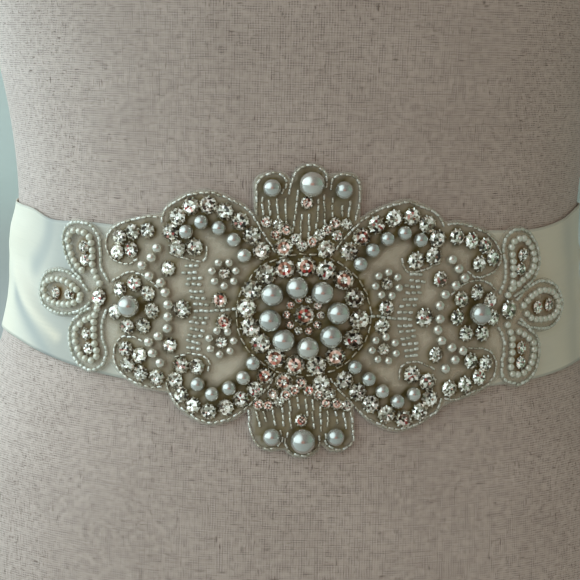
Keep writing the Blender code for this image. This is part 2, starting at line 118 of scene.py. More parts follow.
class Wire:
    """An output socket that takes part in sums."""

    def __init__(self, tree, socket):
        self.tree = tree
        self.socket = socket

    def maths(self, operation, *values):
        """One Math node that takes these values."""
        node = self.tree.nodes.new("ShaderNodeMath")
        node.operation = operation
        for socket, value in zip(node.inputs, values):
            feed(self.tree, socket, value)
        return Wire(self.tree, node.outputs[0])

    def __add__(self, other):
        return self.maths("ADD", self, other)

    def __sub__(self, other):
        return self.maths("SUBTRACT", self, other)

    def __rsub__(self, other):
        return self.maths("SUBTRACT", other, self)

    def __mul__(self, other):
        return self.maths("MULTIPLY", self, other)

    def __abs__(self):
        return self.maths("ABSOLUTE", self)

    __radd__ = __add__
    __rmul__ = __mul__

    def sine(self):
        return self.maths("SINE", self)

    def between(self, low, high):
        """0 below low, 1 above high, and a smooth step from one to the other."""
        node = self.tree.nodes.new("ShaderNodeMapRange")
        node.interpolation_type = "SMOOTHSTEP"
        feed(self.tree, node.inputs["Value"], self)
        node.inputs["From Min"].default_value = low
        node.inputs["From Max"].default_value = high
        return Wire(self.tree, node.outputs[0])


print("wires ready")

# %% Graphs and finishes


class Graph:
    """A node tree whose nodes are added from here."""

    def __init__(self, tree):
        self.tree = tree

    def node(self, kind, settings, sockets, output=0):
        """A new node: its settings first, then what its sockets get."""
        made = self.tree.nodes.new("ShaderNode" + kind)
        for name, value in settings.items():
            setattr(made, name, value)
        for name, value in sockets.items():
            feed(self.tree, made.inputs[name], value)
        return Wire(self.tree, made.outputs[output])

    def axis(self, where, name):
        """One coordinate of a place."""
        return self.node("SeparateXYZ", {}, {"Vector": where}, name)

    def ramp(self, factor, stops):
        """Colour read from a ramp, given as its places and colours."""
        read = self.node("ValToRGB", {}, {"Fac": factor})
        elements = read.socket.node.color_ramp.elements
        elements.remove(elements[1])
        elements[0].position = stops[0][0]
        elements[0].color = (*stops[0][1], 1)
        for position, colour in stops[1:]:
            elements.new(position).color = (*colour, 1)
        return read

    def mix(self, factor, first, second):
        """Two colours mixed by a factor."""
        sockets = {0: factor, MIX_A: first, MIX_B: second}
        return self.node("Mix", {"data_type": "RGBA"}, sockets, MIX_RESULT)


class Finish(Graph):
    """The graph of a material."""

    def __init__(self, name, values):
        self.material = bpy.data.materials.new(name)
        self.material.use_nodes = True
        super().__init__(self.material.node_tree)
        self.shader = self.tree.nodes["Principled BSDF"]
        self.set(values)

    def set(self, values):
        """Values or wires for the shader's own sockets."""
        for name, value in values.items():
            feed(self.tree, self.shader.inputs[name], value)

    def place(self, uv_map=None):
        """Object coordinates, or a named UV map."""
        if uv_map:
            return self.node("UVMap", {"uv_map": uv_map}, {})
        return self.node("TexCoord", {}, {}, "Object")

    def noise(self, where, scale, detail=2.0, stretch=(1, 1, 1)):
        """Noise from 0 to 1, stretched by unequal scales."""
        stretched = self.node("Mapping", {}, {"Vector": where, "Scale": stretch})
        return self.node("TexNoise", {}, {"Vector": stretched, "Scale": scale, "Detail": detail})

    def attribute(self, name):
        """A number that the mesh itself carries."""
        return self.node("Attribute", {"attribute_name": name}, {}, "Fac")

    def bump(self, height, strength, distance):
        """Small relief that only the light sees."""
        sockets = {"Height": height, "Strength": strength, "Distance": distance}
        self.set({"Normal": self.node("Bump", {}, sockets)})


print("finishes ready")

# %% [markdown]
# ## Floor, backdrop and light
#
# Cool window light comes from the left, a little from behind, so the left side is bright and the front falls
# off to the right. A weak warm fill keeps the right side readable. Glossy things don't mirror the two lamps:
# pearls, stones and satin mirror the world, which is paler on the left and has a few patches. The floor runs
# up into the backdrop in one curve, far enough back to look at the object from behind.

# %% Floor and backdrop
FLOOR_HALF = 3.4
BACKDROP_AT = 2.8
BACKDROP_CURVE = 0.6
BACKDROP_HEIGHT = 2.6
CURVE_STEPS = 16
FLOOR_COLOURS = ((0.50, 0.52, 0.50), (0.55, 0.56, 0.53))
# Backdrop colours: painted light on the wall's left, towards the window, and painted shade on its right
WALL_PAINTED_LIGHT, WALL_PAINTED_SHADE = (0.74, 0.82, 0.78), (0.36, 0.39, 0.34)
# Where the wall goes from its painted light on the left to its painted shade on the right, and where the
# paper's colour starts to end
PAINTED_WALL_TURNS = (-0.8, 0.8)
PAPER_END = 1.0


def studio_floor():
    """Floor and backdrop, one sheet drawn as a profile and extruded sideways."""
    profile = [(-FLOOR_HALF, 0.0), (BACKDROP_AT, 0.0)]
    for i in range(1, CURVE_STEPS + 1):
        turn = math.pi / 2 * i / CURVE_STEPS
        deep, high = BACKDROP_CURVE * math.sin(turn), BACKDROP_CURVE * (1 - math.cos(turn))
        profile.append((BACKDROP_AT + deep, high))
    profile.append((BACKDROP_AT + BACKDROP_CURVE, BACKDROP_HEIGHT))
    bm = bmesh.new()
    verts = [bm.verts.new((-FLOOR_HALF, y, z)) for y, z in profile]
    edges = [bm.edges.new(pair) for pair in zip(verts, verts[1:])]
    new = bmesh.ops.extrude_edge_only(bm, edges=edges)["geom"]
    far_side = [item for item in new if isinstance(item, bmesh.types.BMVert)]
    bmesh.ops.translate(bm, verts=far_side, vec=(2 * FLOOR_HALF, 0, 0))
    mesh = bpy.data.meshes.new("floor")
    bm.to_mesh(mesh)
    bm.free()
    mesh.shade_smooth()
    made = placed("floor", mesh)
    finish = Finish("pale_paper", {"Roughness": 0.9})
    place = finish.place()
    # The wall's colour is painted light on the left and painted shade on the right
    wall = finish.mix(finish.axis(place, "X").between(*PAINTED_WALL_TURNS), WALL_PAINTED_LIGHT, WALL_PAINTED_SHADE)
    paper = finish.mix(finish.noise(place, 3.0), *FLOOR_COLOURS)
    far = finish.axis(place, "Y").between(PAPER_END, BACKDROP_AT)
    finish.set({"Base Color": finish.mix(far, paper, wall)})
    mesh.materials.append(finish.material)


studio_floor()
print("floor and backdrop made")

# %% Lights and world
# Name, place, what it points at, width, height, power in watts and colour
LIGHTS = (
    ("window", (-1.15, 0.32, 0.50), (0.0, 0.0, 0.25), 0.9, 1.1, 19.0, (0.66, 0.87, 1.0)),
    ("fill", (0.60, -1.20, 0.75), (0.0, 0.0, 0.25), 0.8, 0.8, 2.2, (1.0, 0.78, 0.64)),
)
# Colour of the room by direction, from the left through the middle to the right
ROOM_STOPS = (
    (0.0, (0.38, 0.47, 0.48)),
    (0.45, (0.29, 0.26, 0.24)),
    (0.75, (0.17, 0.165, 0.15)),
    (1.0, (0.26, 0.39, 0.32)),
)
# Patches of the room that glossy things mirror: direction, full and last degrees, and colour. The pane, the
# pale wall round it, something dark beside the camera and something rosy at it.
ROOM_PATCHES = (
    ((-0.95, 0.10, 0.25), 10, 24, (2.2, 2.5, 2.5)),
    ((-0.80, -0.46, 0.40), 12, 58, (1.45, 1.8, 1.9)),
    ((0.28, -0.96, 0.04), 7, 16, (0.03, 0.026, 0.022)),
    ((0.0, -1.0, 0.06), 13, 22, (0.46, 0.20, 0.15)),
)


def studio_light():
    """Area lights from the table."""
    for name, place, target, width, height, watts, colour in LIGHTS:
        data = bpy.data.lights.new(name, "AREA")
        data.shape = "RECTANGLE"
        data.size = width
        data.size_y = height
        data.energy = watts
        data.color = colour
        made = placed(name, data)
        made.location = place
        made.rotation_euler = (Vector(target) - Vector(place)).to_track_quat("-Z", "Y").to_euler()
        made.visible_glossy = False


def room():
    """A world that is paler on the left, with the patches over it."""
    world = bpy.data.worlds.new("room")
    world.use_nodes = True
    graph = Graph(world.node_tree)
    direction = graph.node("TexCoord", {}, {}, "Generated")
    colour = graph.ramp(graph.axis(direction, "X") * 0.5 + 0.5, ROOM_STOPS)
    for target, inner, outer, patch in ROOM_PATCHES:
        sockets = {0: direction, 1: Vector(target).normalized()}
        facing = graph.node("VectorMath", {"operation": "DOT_PRODUCT"}, sockets, "Value")
        near = facing.between(math.cos(math.radians(outer)), math.cos(math.radians(inner)))
        colour = graph.mix(near, colour, patch)
    feed(graph.tree, graph.tree.nodes["Background"].inputs["Color"], colour)
    bpy.context.scene.world = world


studio_light()
room()
bpy.context.scene.view_settings.view_transform = "Standard"
print("lights:", [row[0] for row in LIGHTS])

# %% [markdown]
# ## Where things lie on a curved waist
#
# Everything on the sash has a flat address: u millimetres round the waist from the front's centre, v above
# the ribbon's centre line and d out of the form. `on_form` turns addresses into places for whole arrays at
# once, so a shape can be drawn flat and then laid on the form like a cut piece of cloth.

# %% The form's measures
# Height, half width, depth to the front and depth to the back
FORM_SECTIONS = (
    (0, 158, 101, 110),
    (50, 163, 105, 120),
    (110, 157, 102, 116),
    (170, 141, 97, 101),
    (209, 123, 92, 90),
    (240, 116.2, 89.5, 85),
    (265, 114.2, 88.5, 83),
    (307, 118, 91, 86),
    (322, 121, 93.5, 88),
    (362, 131, 103, 94),
    (410, 141, 114, 98),
    (440, 145, 117, 100),
    (480, 149, 112, 99),
    (520, 157, 98, 95),
    (560, 167, 82, 89),
    (590, 163, 70, 81),
    (612, 131, 60, 72),
    (630, 93, 55, 63),
    (645, 66, 52, 56),
    (660, 56, 50, 52),
    (700, 53, 48, 50),
)
HALF_WIDTH, FRONT_DEPTH, BACK_DEPTH = 1, 2, 3
WAIST_HEIGHT = 240.0
WAIST_STEPS = 1440


def through(rows, x, column):
    """Values at x of a smooth curve through one column of a table whose first column is x."""
    starts = np.array([row[0] for row in rows], float)
    values = np.array([row[column] for row in rows], float)
    gaps = np.diff(starts)
    slopes = np.diff(values) / gaps
    inner = (slopes[:-1] * gaps[1:] + slopes[1:] * gaps[:-1]) / (gaps[:-1] + gaps[1:])
    tangents = np.concatenate([slopes[:1], inner, slopes[-1:]])
    low = np.clip(np.searchsorted(starts, x, side="right") - 1, 0, len(gaps) - 1)
    t = (x - starts[low]) / gaps[low]
    bend = t * (1 - t) * gaps[low]
    share = t * t * (3 - 2 * t)
    rise = (values[low + 1] - values[low]) * share
    return values[low] + rise + bend * ((1 - t) * tangents[low] - t * tangents[low + 1])


def ease(value, start, end):
    """0 before start, 1 after end, and a smooth rise between them."""
    t = np.clip((value - start) / (end - start), 0.0, 1.0)
    return t * t * (3 - 2 * t)


def form_point(angle, height):
    """Points on the form at angles from the front, turning to the right, and heights."""
    front = through(FORM_SECTIONS, height, FRONT_DEPTH)
    back = through(FORM_SECTIONS, height, BACK_DEPTH)
    width = through(FORM_SECTIONS, height, HALF_WIDTH)
    depth = np.where(np.cos(angle) > 0, front, back)
    return np.stack([width * np.sin(angle), -depth * np.cos(angle), height + 0 * angle], -1)


def lengths_along(path):
    """Distance of each point of a path from its start."""
    return np.concatenate([[0], np.cumsum(np.linalg.norm(np.diff(path, axis=0), axis=1))])


WAIST_ANGLES = np.linspace(-math.pi, math.pi, WAIST_STEPS + 1)
WAIST_DISTANCES = lengths_along(form_point(WAIST_ANGLES, np.full(WAIST_STEPS + 1, WAIST_HEIGHT)))
WAIST_GIRTH = WAIST_DISTANCES[-1]
WAIST_DISTANCES -= WAIST_DISTANCES[WAIST_STEPS // 2]
print("waist girth in mm:", round(WAIST_GIRTH, 1))

# %% Flat addresses to places
ANGLE_STEP = 0.002
HEIGHT_STEP = 0.1


def unit(vectors):
    """Vectors of length one."""
    return vectors / np.linalg.norm(vectors, axis=-1, keepdims=True)


def on_form(u, v, d):
    """Places at u round the waist, v above its line and d out of the form."""
    u, v, d = np.broadcast_arrays(*(np.asarray(value, float) for value in (u, v, d)))
    start = WAIST_DISTANCES[0]
    angle = np.interp((u - start) % WAIST_GIRTH + start, WAIST_DISTANCES, WAIST_ANGLES)
    height = WAIST_HEIGHT + v
    across = form_point(angle + ANGLE_STEP, height) - form_point(angle - ANGLE_STEP, height)
    upward = form_point(angle, height + HEIGHT_STEP) - form_point(angle, height - HEIGHT_STEP)
    return form_point(angle, height) + unit(np.cross(across, upward)) * d[..., None]


# The ridge of the slanting fold beside the appliqué's left tip: distance round, height, rise, width below it
LEFT_FOLD = (
    (-190, 10, 0, 9),
    (-150, 6, 1.4, 9),
    (-130, 3, 1.9, 8),
    (-115, -6, 1.7, 7),
    (-102, -14, 0.8, 6),
    (-90, -20, 0, 5),
)
FOLD_HEIGHT, FOLD_RISE, FOLD_WIDTH = 1, 2, 3
# How much of its lower width the ridge has above it
FOLD_UPPER_SHARE = 0.6
LEFT_BULGE_CENTRE = (-140.0, 17.0)
LEFT_BULGE_REACH = (32.0, 13.0)
LEFT_BULGE_RISE = 2.4


def fold_rise(u, v):
    """How far the ribbon stands proud of the form in the folds at its left side."""
    near = (u > LEFT_FOLD[0][0]) & (u < LEFT_FOLD[-1][0])
    place = np.clip(u, LEFT_FOLD[0][0], LEFT_FOLD[-1][0])
    ridge = through(LEFT_FOLD, place, FOLD_HEIGHT)
    width = through(LEFT_FOLD, place, FOLD_WIDTH) * np.where(v < ridge, 1.0, FOLD_UPPER_SHARE)
    crest = np.maximum(0, through(LEFT_FOLD, place, FOLD_RISE)) * np.exp(-(((v - ridge) / width) ** 2))
    away_u = (u - LEFT_BULGE_CENTRE[0]) / LEFT_BULGE_REACH[0]
    away_v = (v - LEFT_BULGE_CENTRE[1]) / LEFT_BULGE_REACH[1]
    bulge = LEFT_BULGE_RISE * (1 - ease(np.hypot(away_u, away_v), 0.0, 1.0))
    return np.where(near, crest + bulge, 0.0)


def on_ribbon(u, v, d):
    """Places d out of the form, over the ribbon's folds."""
    return on_form(u, v, d + fold_rise(np.asarray(u, float), np.asarray(v, float)))


print("front centre:", on_form(0.0, 0.0, 0.0).round(2))
print("back centre:", on_form(WAIST_GIRTH / 2, 0.0, 0.0).round(2))

# %% Grids of cloth, and finished pieces
WELD = 1e-6


def map_cloth(bm, rule):
    """UV map of the flat cloth in metres, from a rule that gives mm for a vertex's x, y and z."""
    layer = bm.loops.layers.uv.new("cloth")
    for face in bm.faces:
        for loop in face.loops:
            u, v = rule(*loop.vert.co)
            loop[layer].uv = (u * MM, v * MM)


def cloth_grid(columns, rows, rule):
    """Grid from 0 to 1 each way, with its map."""
    bm = bmesh.new()
    bmesh.ops.create_grid(bm, x_segments=columns, y_segments=rows, size=0.5)
    bmesh.ops.translate(bm, verts=bm.verts, vec=(0.5, 0.5, 0))
    map_cloth(bm, rule)
    return bm


def laid(bm, place):
    """Moves all vertices to place(x, y, z), which takes and gives millimetres."""
    flat = np.array([vert.co[:] for vert in bm.verts])
    for vert, point in zip(bm.verts, place(*flat.T) * MM):
        vert.co = point


def piece(name, mesh, finish):
    """Object of a mesh, with its finish, riding on the one body."""
    mesh.materials.append(finish.material)
    made = placed(name, mesh)
    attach(made, "root")
    return made


def cloth_piece(name, bm, finish, thickness=0.0):
    """Smooth piece from a bmesh, given a thickness where it is cloth."""
    mesh = bpy.data.meshes.new(name)
    bm.to_mesh(mesh)
    bm.free()
    mesh.shade_smooth()
    made = piece(name, mesh, finish)
    if thickness:
        solid = made.modifiers.new("thickness", "SOLIDIFY")
        solid.thickness = thickness * MM
        solid.offset = 0.0
    print(name, "faces:", len(mesh.polygons))
    return made


def closed_piece(name, bm, finish, sharp):
    """Piece whose open rims are filled, smooth but for edges over an angle in degrees."""
    bmesh.ops.holes_fill(bm, edges=[edge for edge in bm.edges if edge.is_boundary])
    bmesh.ops.recalc_face_normals(bm, faces=bm.faces)
    made = cloth_piece(name, bm, finish)
    made.data.set_sharp_from_angle(angle=math.radians(sharp))
    return made


# %% [markdown]
# ## The linen cover
#
# The form is covered in an undyed linen with a square open weave. Between the threads are tiny regular gaps,
# and here and there a brown slub, a thick dark bit of fibre, lies along a thread. The pattern is worked out
# from the UV map, which runs round and up the form in metres, so the threads have their real size.

# %% Linen
THREAD_PITCH = 0.82 * MM
THREAD_WOBBLE = 0.6 * MM
LINEN_LIGHT = (0.55, 0.445, 0.385)
LINEN_DARK = (0.43, 0.34, 0.29)
# Painted shade inside the gaps of the weave
GAP_SHADE_COLOUR = (0.07, 0.052, 0.042)
SLUB_COLOUR = (0.10, 0.065, 0.045)


def linen_finish():
    """Open square weave with uneven threads, dark slubs and painted shade in the gaps between threads."""
    finish = Finish("linen", {"Roughness": 0.92, "Sheen Weight": 0.15, "Specular IOR Level": 0.2})
    place = finish.place("cloth")
    wobble_u = (finish.noise(place, 180.0) - 0.5) * THREAD_WOBBLE
    wobble_v = (finish.noise(place, 150.0, stretch=(1, 1.3, 1)) - 0.5) * THREAD_WOBBLE
    warp = abs(((finish.axis(place, "X") + wobble_u) * (math.pi / THREAD_PITCH)).sine())
    weft = abs(((finish.axis(place, "Y") + wobble_v) * (math.pi / THREAD_PITCH)).sine())
    openness = finish.noise(place, 430.0, 3.0).between(0.40, 0.62)
    gaps = ((1 - warp) * (1 - weft)).between(0.06, 0.42) * (openness * 0.8 + 0.2)
    thick_warp = finish.noise(place, 260.0, 3.0, (5, 1.0, 1))
    thick_weft = finish.noise(place, 260.0, 3.0, (1.0, 5, 1))
    uneven = (thick_warp + thick_weft) * 0.5
    patches = finish.noise(place, 35.0, 4.0)
    cloth = finish.mix((uneven * 0.75 + patches * 0.25).between(0.36, 0.64), LINEN_DARK, LINEN_LIGHT)
    slub_weft = finish.noise(place, 300.0, 1.0, (1.0, 6.0, 1)).between(0.66, 0.74)
    slub_warp = finish.noise(place, 290.0, 1.0, (6.0, 1.0, 1)).between(0.67, 0.75)
    # The gaps between the threads are painted near black, as the shade inside them
    cloth = finish.mix(gaps * 0.95, cloth, GAP_SHADE_COLOUR)
    cloth = finish.mix(slub_weft.maths("MAXIMUM", slub_weft, slub_warp) * 0.8, cloth, SLUB_COLOUR)
    finish.set({"Base Color": cloth})
    finish.bump((warp + weft) * 0.5 + uneven * 0.6, 0.5, 0.00018)
    return finish


# %% The form
FORM_COLUMNS = 144
FORM_ROWS = 130
FORM_SHARP = 50
GIRTH_HEIGHTS = 60
GIRTH_STEPS = 180


def girth_at(height):
    """Length round the form at a height."""
    angles = np.linspace(-math.pi, math.pi, GIRTH_STEPS + 1)
    return lengths_along(form_point(angles, height + 0 * angles))[-1]


def linen_form():
    """The torso: one sheet wrapped round, welded at the back and closed at the base and neck."""
    top = FORM_SECTIONS[-1][0]
    heights = np.linspace(0, top, GIRTH_HEIGHTS)
    girths = [girth_at(height) for height in heights]
    bm = cloth_grid(FORM_COLUMNS, FORM_ROWS,
                    lambda x, y, z: ((x - 0.5) * np.interp(y * top, heights, girths), y * top))
    laid(bm, lambda x, y, z: form_point((x - 0.5) * 2 * math.pi, y * top))
    bmesh.ops.remove_doubles(bm, verts=bm.verts, dist=WELD)
    made = closed_piece("linen_form", bm, linen_finish(), FORM_SHARP)
    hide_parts("form_torso")
    return made


linen_form()

# %% [markdown]
# ## The neck cap
#
# A turned wooden cap closes the neck. It isn't in the photograph, so it stays plain: nine rings over the
# neck's own oval, bridged and closed, with bands of growth as their pattern.

# %% The neck cap
# Rise above the neck and reach beyond it, in mm
CAP_PROFILE = ((0.3, 1.0), (1.0, 1.7), (2.0, 2.0), (5.5, 2.0), (6.8, 1.6), (8.0, 0.6), (9.0, -0.6),
               (10.6, -3.8), (12.0, -8.0))
CAP_SIDES = 96
CAP_SHARP = 45
WOOD_STOPS = ((0.2, (0.30, 0.19, 0.11)), (0.6, (0.42, 0.29, 0.18)), (0.9, (0.50, 0.37, 0.24)))


def wood_finish():
    """Pale turned wood with bands of growth."""
    finish = Finish("cap_wood", {"Roughness": 0.5, "Coat Weight": 0.3, "Coat Roughness": 0.25})
    place = finish.place()
    wavy = finish.noise(place, 40.0, 3.0, (1, 6, 1))
    grain = finish.node("TexWave", {"wave_type": "BANDS", "bands_direction": "X"},
                        {"Vector": place, "Scale": 28.0, "Distortion": 3.0, "Detail": 2.0}, "Fac")
    finish.set({"Base Color": finish.ramp(grain * 0.6 + wavy * 0.4, WOOD_STOPS)})
    finish.bump(grain, 0.15, 0.0002)
    return finish


def neck_cap():
    """Rings over the neck, bridged, with a flat top and underside."""
    top = FORM_SECTIONS[-1][0]
    angles = np.linspace(0, 2 * math.pi, CAP_SIDES, endpoint=False)
    neck = form_point(angles, np.full(CAP_SIDES, float(top)))
    outward = np.stack([np.sin(angles), -np.cos(angles), 0 * angles], -1)
    bm = bmesh.new()
    rings = []
    for rise, grow in CAP_PROFILE:
        ring = bmesh.ops.create_circle(bm, segments=CAP_SIDES, radius=1.0)["verts"]
        for vert, point in zip(ring, (neck + outward * grow + (0, 0, rise)) * MM):
            vert.co = point
        rings.append([edge for edge in bm.edges if edge.verts[0] in ring and edge.verts[1] in ring])
    for low, high in zip(rings, rings[1:]):
        bmesh.ops.bridge_loops(bm, edges=low + high)
    made = closed_piece("neck_cap", bm, wood_finish(), CAP_SHARP)
    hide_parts("form_neck_cap")
    return made


neck_cap()

# %% [markdown]
# ## The satin ribbon
#
# Satin shows long floats of thread that run along the ribbon, so light slides off it in broad soft bands. The
# ribbon is a thin sheet: a grid laid by its edges' heights, welded behind, with the folds that the tie pulls
# into it. Two woven selvedges run along its edges. Where its folds turn from the window, soft dark bands are
# painted shade in its colour, and a bright crest is a painted highlight.

# %% Satin
SATIN_WARM = (0.72, 0.64, 0.50)
SATIN_COOL = (0.65, 0.60, 0.49)
# Colour of the painted shade where the folds turn from the window
SATIN_PAINTED_SHADE = (0.27, 0.285, 0.28)
SATIN_FLOATS = (0.36, 0.36, 0.32)
SELVEDGE_COLOUR = (0.34, 0.34, 0.30)
SELVEDGE = 1.1 * MM


def satin_finish(name, width):
    """Ivory satin whose floats run along the ribbon, with a denser selvedge on each edge and painted shade
    from the mesh.
    """
    finish = Finish(name, {"Metallic": 0.05, "Specular IOR Level": 0.35})
    place = finish.place("cloth")
    across = finish.axis(place, "Y")
    edge = across.maths("MINIMUM", across, width - across)
    selvedge = 1 - edge.between(SELVEDGE * 0.7, SELVEDGE)
    floats = finish.noise(place, 260.0, 2.0, (0.25, 22, 1))
    cloudy = finish.noise(place, 14.0, 3.0)
    colour = finish.mix(cloudy.between(0.35, 0.65), SATIN_WARM, SATIN_COOL)
    colour = finish.mix(floats.between(0.3, 0.75) * 0.12, colour, SATIN_FLOATS)
    colour = finish.mix(selvedge * 0.35, colour, SELVEDGE_COLOUR)
    # Painted shade, and a painted crest highlight, where the folds turn from the window, from the mesh's
    # shade attribute
    colour = finish.mix(finish.attribute("shade"), colour, SATIN_PAINTED_SHADE)
    finish.set({"Base Color": colour})
    finish.set({"Roughness": 0.38 + floats * 0.1 + selvedge * 0.15})
    finish.bump(floats + selvedge * 0.8, 0.16, 0.00012)
    return finish


# %% The ribbon round the waist
# Distance round the waist, and the heights of the lower and upper edge above the centre line
RIBBON_EDGES = (
    (-330, -17, 17),
    (-290, -17.5, 17.5),
    (-245, -25, 25),
    (-200, -27.5, 28.5),
    (-150, -22.8, 29),
    (-131, -22, 29.5),
    (-118, -22.5, 29.2),
    (-104, -24.1, 26.6),
    (-86, -26.2, 27.4),
    (-71, -27.8, 27.4),
    (0, -28.5, 28.5),
    (75, -29.5, 27.9),
    (97, -29, 27.1),
    (119, -27.5, 29.3),
    (133, -26.5, 32),
    (160, -26, 32),
    (200, -28, 29.5),
    (245, -25, 25),
    (290, -17.5, 17.5),
    (330, -17, 17),
)
LOWER_EDGE, UPPER_EDGE = 1, 2
RIBBON_WIDTH = 57.0
RIBBON_MIDDLE = 0.95
RIBBON_THICKNESS = 0.5
GATHER_DEPTH = 1.7
GATHER_REACH = (30.0, 95.0)
GATHERS = 4
BAND_COLUMNS, BAND_ROWS = 360, 36

# Soft creases: middle round the waist, middle height, half length, half width, rise, slope
CREASES = (
    (-168, 4, 26, 3.0, 0.7, 0.35),
    (-175, -12, 20, 2.6, 0.5, 0.20),
    (-158, 14, 18, 2.4, 0.2, -0.15),
    (-122, -16, 13, 2.2, 0.45, -0.42),
    (112, 14, 16, 2.6, 0.4, -0.30),
    (128, -8, 22, 3.0, 0.5, 0.25),
    (150, 12, 26, 3.2, 0.8, 0.12),
    (172, -10, 24, 2.6, 0.6, -0.25),
    (205, 8, 22, 2.8, 0.7, 0.30),
    (-208, 10, 24, 2.8, 0.7, -0.28),
)

# Painted shade where the folds turn away from the window: points of a line up the ribbon, half width and
# depth. A line of less than nothing is a painted highlight on a bright crest, drawn over the shades before
# it.
PAINTED_SATIN_SHADES = (
    (((-88, -30), (-93, 0), (-90, 30)), 24.0, 0.62),
    (((-104, 30), (-105, 20), (-108, 14), (-113, 8)), 6.5, 0.70),
    (((-95, -26), (-107, -18), (-119, -10.5), (-126, -6)), 5.0, 0.75),
    (((-94, -17.5), (-105, -12.5), (-118, -6), (-131, 3)), 2.0, -0.9),
    (((122, 31), (126, 12), (125, -8), (120, -26)), 6.0, 0.25),
)


def along_path(path, distances):
    """Points at distances from the start of a smooth curve through a path."""
    rows = np.column_stack([lengths_along(path), path])
    return np.column_stack([through(rows, distances, 1), through(rows, distances, 2)])


def curve_points(controls, step=0.4):
    """Points about a step apart on a smooth curve through the controls."""
    controls = np.array(controls, float)
    length = lengths_along(controls)[-1]
    return along_path(controls, np.linspace(0, length, max(1, round(length / step)) + 1))


def nearest(points, others):
    """Distance from each point to the nearest of the others."""
    return np.sqrt(((points[:, None] - others[None]) ** 2).sum(axis=2).min(axis=1))


def painted_satin_shade(u, v):
    """How much painted shade each place of the ribbon gets for the dark of the room in its folds, from 0 to
    1.
    """
    shade = np.zeros(len(u))
    places = np.stack([u, v], -1)
    for line, half_width, depth in PAINTED_SATIN_SHADES:
        share = np.exp(-((nearest(places, curve_points(line)) / half_width) ** 2))
        shade = np.maximum(shade, depth * share) if depth > 0 else shade * (1 + depth * share)
    return shade


def crease_rise(u, v):
    """Soft ridges that the pull of the knot leaves in the ribbon."""
    rise = np.zeros(np.broadcast(u, v).shape)
    for middle_u, middle_v, half_length, half_width, height, slope in CREASES:
        along = (u - middle_u) / half_length
        beside = (v - middle_v - slope * (u - middle_u)) / half_width
        rise += height * np.exp(-(along**2) - beside**2)
    return rise


def ribbon_address(x, y):
    """Flat address of the point at shares x and y of the ribbon's length and width."""
    u = (x - 0.5) * WAIST_GIRTH
    low, high = through(RIBBON_EDGES, u, LOWER_EDGE), through(RIBBON_EDGES, u, UPPER_EDGE)
    return u, low + (high - low) * y


def ribbon_place(x, y, z):
    """Where the point at shares x and y of the ribbon's length and width lies."""
    u, v = ribbon_address(x, y)
    gather = GATHER_DEPTH * (1 - ease(WAIST_GIRTH / 2 - abs(u), *GATHER_REACH))
    wave = 0.5 - 0.5 * np.cos(2 * math.pi * GATHERS * y)
    return on_ribbon(u, v, RIBBON_MIDDLE + gather * wave + crease_rise(u, v))


def satin_band(finish):
    """The ribbon, welded into a ring behind."""
    bm = cloth_grid(BAND_COLUMNS, BAND_ROWS, lambda x, y, z: (x * WAIST_GIRTH, y * RIBBON_WIDTH))
    shares = np.array([vert.co[:2] for vert in bm.verts])
    # Painted shade of the satin, kept on the mesh for its colour
    layer = bm.verts.layers.float.new("shade")
    for vert, shade in zip(bm.verts, painted_satin_shade(*ribbon_address(*shares.T))):
        vert[layer] = shade
    laid(bm, ribbon_place)
    bmesh.ops.remove_doubles(bm, verts=bm.verts, dist=WELD)
    made = cloth_piece("satin_band", bm, finish, RIBBON_THICKNESS)
    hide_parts("ribbon_band")
    return made


RIBBON_FINISH = satin_finish("satin", RIBBON_WIDTH * MM)
satin_band(RIBBON_FINISH)

# %% [markdown]
# ## Knot and tails
#
# The back isn't in the photograph. A sash like this is tied, so a small knot gathers the ribbon and two tails
# hang from it, fluted where they spread and cut on the slant so that they don't fray.

# %% The knot
KNOT_HALF = (20.0, 25.0, 7.0)
KNOT_STANDOFF = 3.6
KNOT_SQUARENESS = 0.6
KNOT_TWIST = 0.9
KNOT_COLUMNS, KNOT_ROWS = 120, 60
# How many, how deep and turned by how much: the main creases, and the fine pleats between them
KNOT_CREASES = ((3, 0.09, 0.6), (8, 0.028, 1.1), (15, 0.014, 0.2))


def knot_place(x, y, z):
    """A ball's point on the knot's pillow shape."""
    half_u, half_v, half_d = KNOT_HALF
    lift = np.arccos(np.clip(-z, -1, 1))
    turn = np.arctan2(y, x)
    crease = 1.0
    for count, depth, start in KNOT_CREASES:
        crease = crease + depth * np.cos(count * turn + start + KNOT_TWIST * z)
    fullness = np.sin(lift) ** KNOT_SQUARENESS
    u = half_u * fullness * np.cos(turn) * crease
    outward = np.where(np.sin(turn) > 0, crease, 1.0)
    d = KNOT_STANDOFF + half_d + half_d * fullness * np.sin(turn) * outward
    return on_form(WAIST_GIRTH / 2 + u, -half_v * np.cos(lift), d)


def satin_knot(finish):
    """Knot of wrapped ribbon, from a ball."""
    bm = bmesh.new()
    bmesh.ops.create_uvsphere(bm, u_segments=KNOT_COLUMNS, v_segments=KNOT_ROWS, radius=1.0)
    map_cloth(bm, lambda x, y, z: (math.atan2(y, abs(x)) * KNOT_HALF[0], (z + 1) * KNOT_HALF[1]))
    laid(bm, knot_place)
    bmesh.ops.recalc_face_normals(bm, faces=bm.faces)
    made = cloth_piece("satin_knot", bm, finish)
    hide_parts("ribbon_knot")
    return made


satin_knot(RIBBON_FINISH)

# %% The tails
TAIL_TOP = -19.5
TAIL_TOP_LIFT = 2.6
TAIL_HALF_TOP = 6.5
TAIL_HALF_FOOT = 24.5
TAIL_FLUTES = 3
TAIL_FLUTE_DEPTH = 4.5
TAIL_COLUMNS, TAIL_ROWS = 54, 100
# Shares of the length over which a tail spreads, swings out, comes down to the form and gets its flutes
TAIL_SPREAD = (-0.1, 0.75)
TAIL_SWING = (-0.2, 1.2)
TAIL_SETTLE = (0.0, 0.2)
TAIL_FLUTING = (0.0, 0.5)
TAILS = {
    "left": {"top": -7.6, "foot": -35.0, "inner_end": -216.0, "outer_end": -194.0},
    "right": {"top": 7.6, "foot": 33.0, "inner_end": -204.0, "outer_end": -181.0},
}


